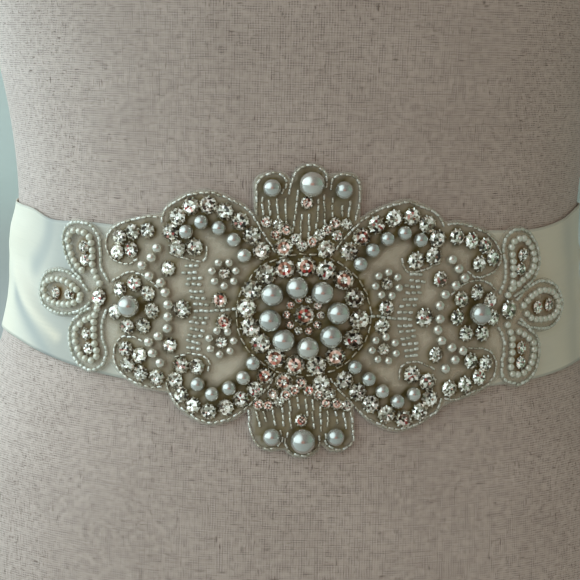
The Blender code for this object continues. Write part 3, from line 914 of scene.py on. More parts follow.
def satin_tail(which, finish, top, foot, inner_end, outer_end):
    """One tail, from under the knot to its slanting end."""

    def tail_place(x, y, z):
        across = 2 * x - 1
        down = 1 - y
        side = math.copysign(1, foot)
        end = inner_end + (outer_end - inner_end) * (0.5 + 0.5 * across * side)
        half = TAIL_HALF_TOP + (TAIL_HALF_FOOT - TAIL_HALF_TOP) * ease(down, *TAIL_SPREAD)
        u = top + (foot - top) * ease(down, *TAIL_SWING) + half * across
        wave = 0.5 - 0.5 * np.cos(2 * math.pi * TAIL_FLUTES * x)
        lift = TAIL_TOP_LIFT * (1 - ease(down, *TAIL_SETTLE))
        rise = TAIL_FLUTE_DEPTH * wave * ease(down, *TAIL_FLUTING) + lift
        return on_form(WAIST_GIRTH / 2 + u, TAIL_TOP + (end - TAIL_TOP) * down, RIBBON_MIDDLE + rise)

    length = abs(inner_end + outer_end) / 2 + TAIL_TOP
    bm = cloth_grid(TAIL_COLUMNS, TAIL_ROWS, lambda x, y, z: (y * length, x * RIBBON_WIDTH))
    laid(bm, tail_place)
    made = cloth_piece("satin_tail_" + which, bm, finish, RIBBON_THICKNESS)
    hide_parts("ribbon_tail_" + which)
    length * MM
    return made


for which, sizes in TAILS.items():
    satin_tail(which, RIBBON_FINISH, **sizes)

# %% [markdown]
# ## The layout of the beading
#
# Beaders draw a plan first: rings, scrolls, lobes, leaves and fans. The two halves follow one design, yet
# each was sewn by hand, so each has its own short lists of places here. Positions are millimetres from the
# middle of the rosette.

# %% Tools for the plan
APPLIQUE_CENTRE = (2.7, -1.3)
HAND_SHIFT = 0.12
HAND_TURN = 5.0


def spaced(controls, count):
    """A given count of points evenly along a smooth curve through the controls."""
    fine = curve_points(controls)
    return along_path(fine, np.linspace(0, lengths_along(fine)[-1], count))


def on_ring(count, half_width, half_height, turn):
    """Points of an ellipse about the middle, evenly by angle."""
    angles = math.radians(turn) + 2 * math.pi * np.arange(count) / count
    return np.column_stack([half_width * np.cos(angles), half_height * np.sin(angles)])


def beside(path, distance):
    """A path beside another, to the left of its travel where the distance is positive."""
    along = unit(np.gradient(path, axis=0))
    return path + np.column_stack([-along[:, 1], along[:, 0]]) * distance


def strung(path, pitch, half_length):
    """Beads strung end to end on a path: rows of place, half length and turn, a little uneven."""
    lengths = lengths_along(path)
    count = max(1, round(lengths[-1] / pitch))
    middles = (np.arange(count) + 0.5) * lengths[-1] / count
    along = np.gradient(path, axis=0)
    turns = np.degrees(np.unwrap(np.arctan2(along[:, 1], along[:, 0])))
    tracks = ((path[:, 0], HAND_SHIFT), (path[:, 1], HAND_SHIFT), (turns, HAND_TURN))
    x, y, turn = (np.interp(middles, lengths, values) + dice.normal(0, slack, count)
                  for values, slack in tracks)
    return list(zip(x, y, np.full(count, half_length), turn))


PLAN = {}
dice = np.random.default_rng(27)
print("plan tools ready")

# %% Large pearls and stones
# Large beads: sub-part, what they are, diameter, and places from the middle of the rosette
LARGE_BEADS = (
    ("rosette", "pearl", 8.0,
     ((-11, 7.2), (-2.5, 9.9), (6.2, 8.3), (11.7, 1.1), (9.2, -7.3), (1.5, -11.5), (-6.7, -8.9),
      (-11.5, -1.9))),
    ("rosette", "stone", 6.8,
     ((0, 0), (-13.6, 14.3), (-7, 16.6), (0.4, 17.4), (7.4, 16.3), (13.8, 12.7), (17.6, 6.3), (19.4, -1.4),
      (17, -8.6), (11.1, -14.6), (4.4, -17.9), (-2.7, -17.8), (-9.5, -15.6), (-14.7, -10.3), (-18.5, -4.7),
      (-20, 1.9), (-18.3, 8.6))),
    ("fans", "pearl", 8.8, ((1.8, 47.3), (0.2, -44.9))),
    ("fans", "pearl", 6.3, ((-11.8, 45.5), (12.9, 45.2), (-9.5, -43.8), (10.5, -43.4))),
    ("fans", "stone", 6.0, ((-7.5, 24.1), (7.4, 23.8), (-6.3, -24), (6.3, -24.2))),
    ("flowers", "pearl", 8.0, ((-62.7, -0.1), (64.1, -0.9))),
    ("flowers", "stone", 5.5,
     ((-68.2, 5.4), (-62.5, 8.1), (-56.7, 5), (-54.6, -1.2), (-57.5, -7), (-63.8, -7.9), (-69.4, -3),
      (58, 4.7), (64.6, 7), (70.2, 3.6), (71, -2.9), (66, -8.4), (59.4, -7.9), (56, -1.8))),
    ("flowers", "stone", 5.3,
     ((-29.8, 4.4), (-27.9, -3.4), (-49.3, 14.5), (-46.7, -13.1),
      (29.1, 2.6), (27.6, -3.9), (49.7, 12.5), (46.8, -14.9))),
    ("flowers", "stone", 6.4, ((-43.1, 0.4), (43.1, -1.2), (-76.8, 1.5), (78.7, -0.6))),
)

# Curves of large beads: sub-part, what they are, diameter, how many, and the points of the curve
BEAD_CURVES = (
    ("upper_scrolls", "stone", 6.1, 10,
     ((-15.3, 22.7), (-18.7, 27.7), (-22.5, 32.4), (-27.9, 36), (-33.8, 38.2), (-40, 38), (-45.2, 34.5),
      (-48.7, 28.5), (-46.1, 22.4), (-39.6, 23))),
    ("upper_scrolls", "stone", 6.1, 9,
     ((15.5, 23.1), (19.5, 27.8), (24.2, 32), (30.1, 34.6), (36.9, 35.7), (43, 33.2), (47.9, 28.3),
      (47.5, 21.7), (40.2, 19.7))),
    ("upper_scrolls", "pearl", 5.2, 5,
     ((-21.3, 20.9), (-25.1, 26.4), (-30.3, 30.3), (-36.6, 32.3), (-42.4, 28.5))),
    ("upper_scrolls", "pearl", 5.2, 5,
     ((19.5, 18.6), (23.5, 23.3), (28.8, 27.6), (35.2, 29.7), (41.2, 27.1))),
    ("lower_scrolls", "stone", 5.6, 10,
     ((-12.8, -22.1), (-16, -27), (-20.4, -30.8), (-25.5, -34.2), (-30.5, -35.9), (-36, -34.2),
      (-40.8, -30.6), (-43.6, -25.4), (-41.8, -19.9), (-36.3, -20))),
    ("lower_scrolls", "stone", 6.0, 9,
     ((14, -23.1), (18.2, -27.4), (22.3, -31.7), (27, -35.2), (32.2, -37.6), (38, -35.9), (42.8, -31.6),
      (43.3, -24.9), (37.7, -21.7))),
    ("lower_scrolls", "pearl", 5.2, 5,
     ((-16.9, -17.6), (-20, -23.1), (-24.6, -27), (-30, -29.4), (-35.2, -26.3))),
    ("lower_scrolls", "pearl", 5.2, 5,
     ((17.6, -18.3), (22.4, -22.9), (26.9, -27.5), (31.9, -31.1), (37.3, -28.7))),
    ("lobes", "stone", 5.6, 5, ((-57.8, 27.9), (-63.5, 27.1), (-69, 25), (-70.6, 19.2), (-64.2, 20.4))),
    ("lobes", "stone", 5.6, 5, ((56.2, 27.7), (61.8, 26.2), (67.6, 24.3), (72, 19.6), (65.7, 17.4))),
    ("lobes", "stone", 5.6, 5, ((-50.3, -25.1), (-56, -24.3), (-62.1, -21.5), (-63.6, -16), (-57.9, -17.9))),
    ("lobes", "stone", 5.6, 5, ((50.9, -27.6), (56.9, -26.6), (62.8, -24.4), (66.4, -19.5), (60.4, -18.1))),
)


def planned(part, kind, rows):
    """Adds rows of place, size and turn to one kind of bead in one sub-part."""
    PLAN.setdefault((part, kind), []).extend(rows)


def round_ones(part, kind, diameter, places):
    """Adds round beads of one diameter, each turned at random."""
    planned(part, kind, [(x, y, diameter / 2, dice.uniform(0, 360)) for x, y in places])


def plan_large_beads():
    """The beads that are also raised on the solid applique."""
    for part, kind, diameter, places in LARGE_BEADS:
        round_ones(part, kind, diameter, places)
    for part, kind, diameter, count, controls in BEAD_CURVES:
        round_ones(part, kind, diameter, spaced(controls, count))


plan_large_beads()
print("large beads:", sum(len(rows) for rows in PLAN.values()))

# %% Small stones and pearls
TINY_STONE = 2.9
TINY_RING = (10, 5.9, 5.9, 0.0)

# Small stones at the fans' roots and under their middle pearls
FAN_STONE, MIDDLE_STONE = 3.9, 4.3
FAN_STONES = (
    (-13.8, 33.1), (-9.7, 32.2), (-6.8, 30.5), (-10.4, 28.6), (-3.4, 27.2), (-1.1, 24.8), (2.4, 26.4),
    (5, 28.9), (7.8, 30.8), (10.4, 33.1), (11.3, 28.7), (14.5, 32.8),
    (-14.5, -32.5), (-11.3, -32.6), (-9.8, -28.4), (-7.8, -31.1), (-5.6, -28.7), (-2.8, -27), (-0.5, -24.3),
    (2.1, -26.9), (5.4, -28.3), (9.3, -27.9), (7.8, -31.4), (11.3, -31.8), (14.6, -32.4),
)
MIDDLE_STONES = ((0.3, 40.3), (-0.4, -37.7))

# The chains of small pearls between flower and ladder
CHAIN_PEARL = 3.8
CHAINS = (
    (-53.5, 21.9), (-55.6, 18.2), (-59.1, 15.1), (-56.1, 11.4), (-51.5, 9.4), (-49.6, 5.9), (-48.3, 1.6),
    (-48, -2.8), (-47.9, -7), (-51, -10.1), (-54.4, -12.5), (-52.5, -16.5), (-49.3, -19.7),
    (53.9, 19.6), (56.5, 16.1), (58.9, 12.6), (55.2, 10), (51, 6.8), (48.8, 2.9), (48.7, -1.9),
    (47.7, -5.9), (49, -9.8), (52.7, -12.6), (56.9, -14), (53.6, -17.2), (49.7, -20.2),
)

# Florets, a stone with a ring of seven small pearls: place and turn
FLORETS = ((-28.4, 14, 16), (29.4, 11.2, 34), (-28.3, -10.7, 10), (28, -12.2, 30))
FLORET_STONE, FLORET_PEARL = 4.2, 3.1
FLORET_RING = (7, 4.45, 4.45)


def plan_small_beads():
    """Beads that lie on the organza between the large ones."""
    round_ones("rosette", "stone", TINY_STONE, on_ring(*TINY_RING))
    round_ones("fans", "stone", FAN_STONE, FAN_STONES)
    round_ones("fans", "stone", MIDDLE_STONE, MIDDLE_STONES)
    round_ones("chains", "small_pearl", CHAIN_PEARL, CHAINS)
    for x, y, turn in FLORETS:
        round_ones("florets", "stone", FLORET_STONE, [(x, y)])
        round_ones("florets", "small_pearl", FLORET_PEARL, on_ring(*FLORET_RING, turn) + (x, y))


plan_small_beads()
print("with small ones:", sum(len(rows) for rows in PLAN.values()))

# %% Lines of glass tubes
TUBE_PITCH, TUBE_HALF = 2.2, 1.0
ROSETTE_LINE = (23.6, 21.8)
ROSETTE_PITCH, ROSETTE_HALF = 3.5, 1.4

# The outlines that are drawn in tubes, by sub-part
OUTLINES = {
    "upper_scrolls": (
        ((-10.5, 22.2), (-16, 30.7), (-20.2, 36.9), (-25.3, 39.9), (-30.8, 42), (-35.6, 42.6), (-40.6, 41.9),
         (-45.6, 39.7), (-49, 37.6), (-51.6, 34.6), (-52.4, 31)),
        ((-48.9, 20.7), (-46.8, 19.5), (-43.8, 18.9), (-41.1, 18.4), (-36.4, 18.2), (-35, 21.2),
         (-34.9, 23.6)),
        ((10.8, 23.6), (13.3, 26.8), (18.2, 32.3), (21.3, 35.1), (25.1, 37.4), (30.9, 39.5), (36.1, 40.6),
         (41.2, 39.2), (48.7, 35.2), (51, 31.4)),
        ((49.9, 18.6), (46.6, 17.3), (42, 15.7), (37.6, 15.4), (35.6, 17.8), (35.2, 20.6)),
    ),
    "lower_scrolls": (
        ((-9, -21), (-12.1, -26.6), (-15.5, -30.6), (-18.3, -33.6), (-21.6, -36.7), (-25.5, -38.7),
         (-29.2, -39.9), (-33.4, -39.2), (-37.8, -37), (-41.8, -33.9), (-45, -30.4), (-46.9, -26.4)),
        ((-45, -17.2), (-42, -16.2), (-38, -15.7), (-34, -16.3), (-32.2, -19), (-32.2, -21.6)),
        ((9.3, -22.3), (12.6, -27.1), (16.1, -31), (20.4, -35.9), (24.7, -39), (30.7, -41.3), (35.7, -40.4),
         (40.9, -38), (45.8, -34.7), (47.7, -30.8)),
        ((46.2, -20.6), (42.5, -18.2), (38.5, -17.3), (34.8, -18.4), (33.3, -21), (33.3, -23.8)),
    ),
    "lobes": (
        ((-53.9, 32.9), (-58, 32.9), (-63.2, 31.6), (-69.7, 29.3), (-73.1, 27.1), (-75.3, 23.6),
         (-75.2, 20.3), (-72.7, 16.3), (-69.3, 15.2), (-65.4, 15), (-61.4, 17)),
        ((52.1, 32), (56.2, 32.5), (62.1, 31.2), (69, 28.5), (73.9, 24), (76, 19.2), (73.6, 14.8), (69, 12.6),
         (64.7, 12.5), (60.9, 14.8)),
        ((-57.4, -12.8), (-61.6, -11.4), (-65.7, -12.3), (-68.3, -17.3), (-66.8, -22.4), (-62.1, -26.1),
         (-56.8, -28.3), (-51.9, -28.9), (-47.9, -28.4)),
        ((60, -13.6), (64.5, -13.9), (68.9, -15.4), (71.1, -19.6), (69, -25), (63.5, -28.5), (57.5, -30.3),
         (52, -31.6), (48.4, -31.2)),
    ),
    "flowers": (
        ((-72.2, 7.8), (-69, 10), (-65.3, 12), (-60.6, 11.7), (-55.3, 8.9), (-52.7, 7.2)),
        ((73.8, 6.8), (70.6, 9.6), (66.3, 11.3), (61.5, 10.9), (56.8, 8.6), (53.8, 6)),
    ),
    "fans": (
        ((-17.3, 35.2), (-17.4, 42), (-17, 47.4), (-14.4, 49.8), (-9.5, 50.2), (-7.3, 48.4), (-8.5, 43)),
        ((-6, 43), (-5, 48), (-3.8, 51), (-1, 53.2), (1.5, 53.7), (4.5, 52.6), (6.8, 50), (7, 45.6)),
        ((8.3, 44.7), (9.5, 49), (12.7, 50.3), (16.8, 49.3), (18.3, 47.2), (18.6, 39.4), (17.6, 33.9)),
        ((-17.5, -34.4), (-17.3, -39.4), (-16.2, -42.7), (-14.3, -46.4), (-11.6, -48.1), (-8.6, -47.6),
         (-6.6, -45), (-6.9, -41.3)),
        ((-4.6, -41.9), (-5.2, -46.5), (-3.4, -49.1), (-0.5, -50.2), (2.6, -49.4), (5.2, -46.9), (5.4, -43)),
        ((7.4, -42.3), (7.9, -45.7), (10.1, -47.6), (13.4, -47.6), (16, -45.3), (16.3, -43.2), (16, -34.4)),
    ),
}

# Strings of the fans: where each starts at the root and where it ends
STRINGS = (
    ((-15.1, 35.2), (-15.5, 41.8)), ((-12.8, 35.2), (-12.9, 41)), ((-9.6, 33.8), (-10.2, 41.8)),
    ((-6.8, 31.9), (-7.2, 41.8)), ((-4.4, 29.3), (-2.9, 45)), ((-1.8, 27.6), (-1.3, 36.3)),
    ((1, 28), (1.3, 36.3)), ((3.9, 30.8), (4.5, 41.8)), ((6.9, 32.4), (6.1, 43.4)), ((9.2, 35), (9.2, 42.6)),
    ((12.9, 35.3), (12.9, 39.8)), ((15.1, 35), (15.5, 41.4)),
    ((-14.9, -35), (-13.7, -40.4)), ((-12.9, -34.6), (-11.2, -39)), ((-9.6, -33.8), (-8.7, -39.8)),
    ((-6.5, -33), (-5.9, -40.4)), ((-4.2, -30.5), (-3.5, -41)), ((-1.3, -29), (-1.1, -34)),
    ((1, -29.6), (1.9, -36.2)), ((3.3, -30), (3.7, -40.6)), ((6.2, -32.5), (6.1, -41.9)),
    ((8.5, -34), (8.7, -40.2)), ((11, -34), (11.4, -39.4)), ((13.5, -34.6), (14.2, -40.8)),
)


def plan_lines():
    """All the outlines, and the strings of the fans."""
    ring = on_ring(120, *ROSETTE_LINE, 0)
    planned("rosette", "long_tube", strung(np.vstack([ring, ring[:1]]), ROSETTE_PITCH, ROSETTE_HALF))
    for part, paths in OUTLINES.items():
        for path in paths:
            planned(part, "tube", strung(curve_points(path), TUBE_PITCH, TUBE_HALF))
    for ends in STRINGS:
        planned("fans", "tube", strung(curve_points(ends), TUBE_PITCH, TUBE_HALF))


plan_lines()
print("with lines:", sum(len(rows) for rows in PLAN.values()))

# %% Leaves and ladders
LEAF_STONE = 4.6
LEAF_PEARL, LEAF_PEARL_PITCH = 2.8, 2.7
LEAF_INSET = 3.4
SEED_PITCH, SEED_HALF = 2.0, 0.98
# How far inside, as a share of the inset, the ring of pearls must stay from all of the outline
LEAF_CLEAR = 0.95
# Leaves: the points of the outline, from the base round, and the two stones
LEAVES = (
    (((-86.4, 7.3), (-91.3, 10.6), (-95.2, 15.9), (-97, 21.1), (-96, 25.1), (-92.9, 27.8), (-87.5, 28.5),
      (-81.9, 27.1), (-79.1, 23.8), (-77.9, 18.7), (-77.1, 12.5), (-73.3, 7.7)),
     ((-85.8, 19.6), (-84.9, 14.7))),
    (((74.9, 5.4), (77.8, 10.9), (77.9, 16.6), (77.2, 23.4), (79.4, 27.6), (84.3, 29.2), (89.9, 27.4),
      (94.8, 21.6), (96.2, 16.2), (93.7, 11), (87.4, 6.8), (81.6, 3.9)),
     ((87, 19.4), (85.6, 14))),
    (((-80.5, -0.7), (-84.9, -4.1), (-91, -6.3), (-100.1, -6.4), (-106.1, -4.1), (-108.9, 0.9), (-107.3, 6.1),
      (-100.4, 9), (-91.8, 8.6), (-86.3, 6.3), (-82.2, 3)), ((-98.6, 0.6), (-91.5, 0.9))),
    (((82.8, 2.4), (89.1, 6.6), (99.9, 8.2), (107.5, 4.6), (110.6, -1.3), (105.6, -7.6), (94.6, -9.3),
      (87.8, -7.6), (84.1, -4.5)), ((100.7, -0.9), (93.9, -1.2))),
    (((-73.4, -2.2), (-74.5, -7.1), (-73.2, -14.1), (-71.3, -18.6), (-72.4, -23.2), (-76.4, -25.5),
      (-81.8, -24.4), (-86.2, -20.7), (-88.5, -16.2), (-89, -10.4), (-84.7, -5.5), (-80.3, -2.6)),
     ((-80.8, -12.6), (-79, -17.9))),
    (((82.7, -5.8), (87.7, -8.3), (92.7, -14.2), (91, -21.3), (84.9, -27.4), (78.6, -28.5), (74.3, -26.5),
      (73.3, -21.6), (75, -16.6), (75.6, -11.8), (73.5, -6.4)), ((83.2, -15.4), (82, -20.9))),
)

# Ladders of short rows beside the rosette: the two ends of each row on the left
LADDER_PITCH, LADDER_HALF = 1.95, 0.9
LADDER = (
    ((-43, 15.9), (-38, 16.2)), ((-44.5, 13.2), (-38, 13.9)), ((-42.4, 11.2), (-36, 11.9)),
    ((-43, 9.1), (-36.4, 9.5)), ((-41.6, 6.9), (-35.4, 6.9)), ((-41, 4.8), (-34.3, 4.7)),
    ((-39.5, 2.5), (-33.3, 2.4)), ((-39.2, -0.2), (-33.4, 0.2), (-23.6, 1.5)), ((-39.2, -2.5), (-33.3, -2.3)),
    ((-40.8, -4.4), (-34, -4.6)), ((-40.4, -6.6), (-34.2, -7.1)), ((-41.2, -8.8), (-34.7, -9.4)),
    ((-41.1, -11), (-35.6, -11.7)), ((-40.8, -13.4), (-35.8, -13.7)),
)
LADDER_RIGHT_SHIFT = (-0.3, -1.5)


def plan_leaves():
    """Leaves: an outline of clear seeds, a ring of small pearls inside it and two stones."""
    for outline, stones in LEAVES:
        path = curve_points(outline)
        planned("leaves", "seed", strung(path, SEED_PITCH, SEED_HALF))
        inner = beside(path, -LEAF_INSET)
        inner = inner[nearest(inner, path) > LEAF_INSET * LEAF_CLEAR]
        planned("leaves", "seed_pearl", strung(inner, LEAF_PEARL_PITCH, LEAF_PEARL / 2))
        round_ones("leaves", "stone", LEAF_STONE, stones)


def plan_ladders():
    """Ladders beside the rosette: short level rows of seeds."""
    across, down = LADDER_RIGHT_SHIFT
    for left in LADDER:
        right = [(across - x, y + down) for x, y in left]
        for row in (left, right):
            planned("ladders", "seed", strung(curve_points(row), LADDER_PITCH, LADDER_HALF))


plan_leaves()
plan_ladders()
print("beads in all:", sum(len(rows) for rows in PLAN.values()))

# %% [markdown]
# ## The organza
#
# The ground is sheer organza cut close round the beading in scallops. Under dense beading it is brown with
# thread and with a painted shadow of the beads; in the cores of the leaves it is golden, in the open windows
# the ribbon shines through, and a narrow rim stays clear outside the outline. A flat outline is filled, cut
# into small cells with planes, measured for how near the beads are, and laid over the ribbon.

# %% The organza's outline
# Scallops of the organza's edge, clockwise from the top of the upper fan. Each ends in a cusp where the next
# one starts.
SCALLOPS = (
    ((1.2, 54.5), (4.8, 53.7)),
    ((7.6, 50.8), (11, 51.2), (17, 50.8), (19.3, 48), (19.6, 40)),
    ((19.4, 35.4), (25, 38.7), (30.7, 40.8), (36.2, 41.9), (41.8, 40.5), (48.2, 37)),
    ((51.8, 33.4), (56.4, 33.8), (62.6, 32.4), (69.8, 29.7)),
    ((75.6, 25.4), (78.3, 29.1), (84.3, 30.5), (90.6, 28.5), (96.2, 22.1), (97.5, 16.2), (95.5, 11)),
    ((91.8, 8.3), (99.9, 9.5), (108.4, 5.6), (111.9, -1.4), (106.4, -8.7), (97, -10.8)),
    ((92.2, -10.6), (94, -14.4), (92.2, -21.9), (85.4, -28.6), (78.5, -29.8), (74, -28.2)),
    ((72.2, -25.3), (69.5, -27), (63.9, -29.8), (57.7, -31.6), (52, -32.9)),
    ((48.4, -34), (45.5, -36.5), (41.4, -38.9), (36.1, -41.4), (30.6, -42.5), (24.2, -40), (19.6, -36.6)),
    ((17.3, -33.4), (16.9, -40), (16, -45.4), (12.6, -49), (8.6, -48.9)),
    ((6.3, -46.9), (4.1, -50), (-0.4, -51.5), (-4, -50.3)),
    ((-5.6, -48.6), (-10.4, -49.3), (-14, -47.6), (-16.8, -40.2)),
    ((-17.5, -34.6), (-20.8, -37.7), (-25, -39.9), (-29.4, -41.2), (-33.5, -40.4), (-38.4, -38),
     (-43, -34.6)),
    ((-46, -30.6), (-51.9, -30.3), (-57.1, -29.6), (-62.7, -27.2)),
    ((-69.6, -21.9), (-72, -25.2), (-76.3, -26.8), (-82.4, -25.6), (-87.3, -21.4), (-89.8, -16.5),
     (-90.3, -11)),
    ((-88.4, -7.2), (-94, -8), (-100.3, -7.7), (-107, -5), (-110.2, 0.9), (-108.4, 7), (-100.6, 10.3)),
    ((-92.2, 9.9), (-96.4, 15.3), (-98.3, 21), (-97.1, 25.6), (-93.4, 29), (-87.4, 29.8), (-81.2, 28.2)),
    ((-77, 24.6), (-73.6, 28.6), (-66.6, 31.5), (-60.1, 33.3)),
    ((-52.6, 34.9), (-50, 38.4), (-46.2, 40.9), (-41, 43.2), (-35.8, 44), (-31, 43.4), (-25.6, 41.3),
     (-21.3, 39)),
    ((-18.6, 36.4), (-18.7, 42), (-18.3, 48.1), (-16.3, 50.2), (-11.5, 51.2), (-7.5, 50.8)),
    ((-5.5, 48.6), (-5, 50.7), (-2.1, 53.7)),
)
OUTLINE_STEP = 1.2


def organza_edge():
    """Corners of the organza's edge, once round, from its scallops."""
    pairs = zip(SCALLOPS, SCALLOPS[1:] + SCALLOPS[:1])
    return np.vstack([curve_points((*here, after[0]), OUTLINE_STEP)[:-1] for here, after in pairs])


EDGE = organza_edge()
CLOSED_EDGE = np.vstack([EDGE, EDGE[:1]])

# %% Organza
ORGANZA_MIDDLE = 2.0
ORGANZA_THICKNESS = 0.15
ORGANZA_TOP = ORGANZA_MIDDLE + ORGANZA_THICKNESS / 2
CELL = 2.0
ORGANZA_THREADS = 9000.0
OPEN_COLOURS = ((0.69, 0.59, 0.445), (0.79, 0.69, 0.55))
# Brown of thread and of painted shadow near the beads
THREAD_AND_SHADE_COLOURS = ((0.08, 0.056, 0.014), (0.16, 0.115, 0.036))
GOLD_COLOUR = (0.17, 0.09, 0.01)
RIM_COLOUR = (0.50, 0.50, 0.42)


def organza_finish():
    """Sheer cloth, brown with threads and painted shadow near the beads, clear and greenish at the rim."""
    finish = Finish("organza", {"Roughness": 0.5, "Sheen Weight": 0.08, "Specular IOR Level": 0.25})
    place = finish.place("cloth")
    ground, rim, gold = (finish.attribute(name) for name in ("ground", "rim", "gold"))
    across, upward = (abs((finish.axis(place, name) * ORGANZA_THREADS).sine()) for name in "XY")
    threads = across * 0.5 + upward * 0.5
    cloudy = finish.noise(place, 220.0, 3.0)
    colour = finish.mix(ground, finish.mix(cloudy, *OPEN_COLOURS),
                        finish.mix(cloudy.between(0.35, 0.65), *THREAD_AND_SHADE_COLOURS))
    colour = finish.mix(rim * 0.6, finish.mix(gold, colour, GOLD_COLOUR), RIM_COLOUR)
    alpha = 0.28 + ground * 0.66 + gold * 0.62 + (threads - 0.5) * 0.12
    finish.set({"Base Color": colour, "Alpha": alpha.between(0.0, 1.0)})
    finish.bump(threads + cloudy, 0.2, 0.0001)
    return finish


# %% Where the organza is brown with thread and painted shadow, golden or clear
RIM_WIDTH = 1.0
NEAR_REACH = 1.35
GOLD_REACH = 1.4
GROUND_SHARES = {"others": 1.0, "tube": 0.35, "small_pearl": 0.45}
FAN_HALF, FAN_FROM = 18.5, 24.0
FAN_GROUND = 0.75
FAR_OFF = 1e3


def beads_under(key):
    """The beads that make one shade: gold from the leaves' stones, the rest as GROUND_SHARES names them."""
    found = []
    for (part, kind), rows in PLAN.items():
        if part == "leaves":
            shade = "gold" if kind == "stone" else None
        else:
            shade = {"seed": "tube", "tube": "tube", "small_pearl": "small_pearl"}.get(kind, "others")
        if shade == key:
            found.extend(rows)
    return np.array(found)


def near_beads(flat, key, reach):
    """How near each flat place is to the beads of one shade: 1 under them, falling off over the reach."""
    gap = np.full(len(flat), FAR_OFF)
    rows = beads_under(key)
    for radius in np.unique(rows[:, 2]):
        gap = np.minimum(gap, nearest(flat, rows[rows[:, 2] == radius][:, :2]) - radius)
    return np.exp(-((np.maximum(gap, 0) / reach) ** 2))


def organza_shades(flat):
    """Shares of ground, rim and gold at flat places."""
    # The ground share is brown thread and painted shadow round the beads, and over the fans
    shares = [share * near_beads(flat, key, NEAR_REACH) for key, share in GROUND_SHARES.items()]
    ground = np.max(shares, axis=0)
    fans = (abs(flat[:, 0]) < FAN_HALF) & (abs(flat[:, 1]) > FAN_FROM)
    ground = np.where(fans, np.maximum(ground, FAN_GROUND), ground)
    rim = 1 - ease(nearest(flat, curve_points(CLOSED_EDGE)), RIM_WIDTH * 0.5, RIM_WIDTH)
    return {"ground": ground * (1 - rim), "rim": rim, "gold": near_beads(flat, "gold", GOLD_REACH)}


# %% The organza ground
# Corners closer to a cutting plane than this, in mm, count as on it
CUT_SNAP = 1e-5


def organza_ground():
    """The outline, filled, cut into cells and laid over the ribbon."""
    bm = bmesh.new()
    bm.faces.new([bm.verts.new((x, y, 0)) for x, y in EDGE])
    for normal, reach in zip((Vector((1, 0, 0)), Vector((0, 1, 0))), abs(EDGE).max(axis=0)):
        for place in np.arange(-reach + CELL / 2, reach, CELL):
            cut = bm.verts[:] + bm.edges[:] + bm.faces[:]
            bmesh.ops.bisect_plane(bm, geom=cut, dist=CUT_SNAP, plane_co=normal * place, plane_no=normal)
    map_cloth(bm, lambda x, y, z: (x, y))
    shades = organza_shades(np.array([vert.co[:2] for vert in bm.verts]))
    laid(bm, lambda x, y, z: on_ribbon(APPLIQUE_CENTRE[0] + x, APPLIQUE_CENTRE[1] + y, ORGANZA_MIDDLE))
    bmesh.ops.recalc_face_normals(bm, faces=bm.faces)
    made = cloth_piece("organza_ground", bm, organza_finish(), ORGANZA_THICKNESS)
    for name, values in shades.items():
        made.data.attributes.new(name, "FLOAT", "POINT").data.foreach_set("value", values)
    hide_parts("applique")
    return made


organza_ground()

# %% [markdown]
# ## Templates: pearl, stone, claw setting and tube
#
# Every shape is made once, with its foot near height zero and a radius or half length of one. The more
# often it is copied, the fewer faces it has. A cut stone is the hull of three rings, with its table inset
# and dented to small mirrors that show what the facets below do in a real one.

# %% Templates
# Height of the middle of a pearl and of a tube, as a share of its radius
PEARL_SINK, TUBE_SINK = 0.85, 0.9
# Radius and rounding of tubes and seeds, as shares of half their length
TUBE = (0.47, 0.16)
LONG_TUBE = (0.30, 0.10)
SEED = (0.66, 0.30)
# Rings of the cut stone: sides, radius, height and turn in degrees
STONE_RINGS = ((12, 0.94, 0.22, 0), (12, 1.0, 0.42, 0), (12, 0.70, 0.74, 15))
# The table: its reach, within which facets may get painted fire, its dent and the width of the facets round
# it
TABLE_SHARE = 0.65
TABLE_DENT = 0.12
TABLE_INSET = 0.34
FLAT_ANGLE = math.radians(2)
CUP = {"sides": 16, "foot": 0.82, "rim": 1.02, "height": 0.42}
CLAWS = 10
# Thickness at foot and tip, length, lean inwards in degrees, distance out and rise above the rim of a claw
CLAW = {"foot": 0.11, "tip": 0.05, "length": 0.30, "lean": -50, "out": 0.97, "rise": 0.06}


def turned(bm, verts, degrees, axis):
    """Turns vertices about the origin."""
    bmesh.ops.rotate(bm, verts=verts, cent=(0, 0, 0), matrix=Matrix.Rotation(math.radians(degrees), 3, axis))


def template(bm):
    """Corners and faces of a small shape, to copy from."""
    bmesh.ops.recalc_face_normals(bm, faces=bm.faces)
    bm.verts.index_update()
    corners = np.array([vert.co[:] for vert in bm.verts])
    faces = [[vert.index for vert in face.verts] for face in bm.faces]
    bm.free()
    return corners, faces


def pearl_template(subdivisions):
    """Ball that sinks a little into the cloth."""
    bm = bmesh.new()
    bmesh.ops.create_icosphere(bm, subdivisions=subdivisions, radius=1.0)
    bmesh.ops.translate(bm, verts=bm.verts, vec=(0, 0, PEARL_SINK))
    return template(bm)


def stone_template():
    """Cut stone: the hull of its rings, with a dented table."""
    bm = bmesh.new()
    for sides, radius, height, turn in STONE_RINGS:
        ring = bmesh.ops.create_circle(bm, segments=sides, radius=radius)["verts"]
        turned(bm, ring, turn, "Z")
        bmesh.ops.translate(bm, verts=ring, vec=(0, 0, height))
    bmesh.ops.convex_hull(bm, input=bm.verts)
    bmesh.ops.dissolve_limit(bm, angle_limit=FLAT_ANGLE, verts=bm.verts, edges=bm.edges)
    table = max(bm.faces, key=lambda face: face.calc_center_median().z)
    bmesh.ops.inset_region(bm, faces=[table], thickness=TABLE_INSET)
    centre = bmesh.ops.poke(bm, faces=[table])["verts"]
    bmesh.ops.translate(bm, verts=centre, vec=(0, 0, -TABLE_DENT))
    return template(bm)


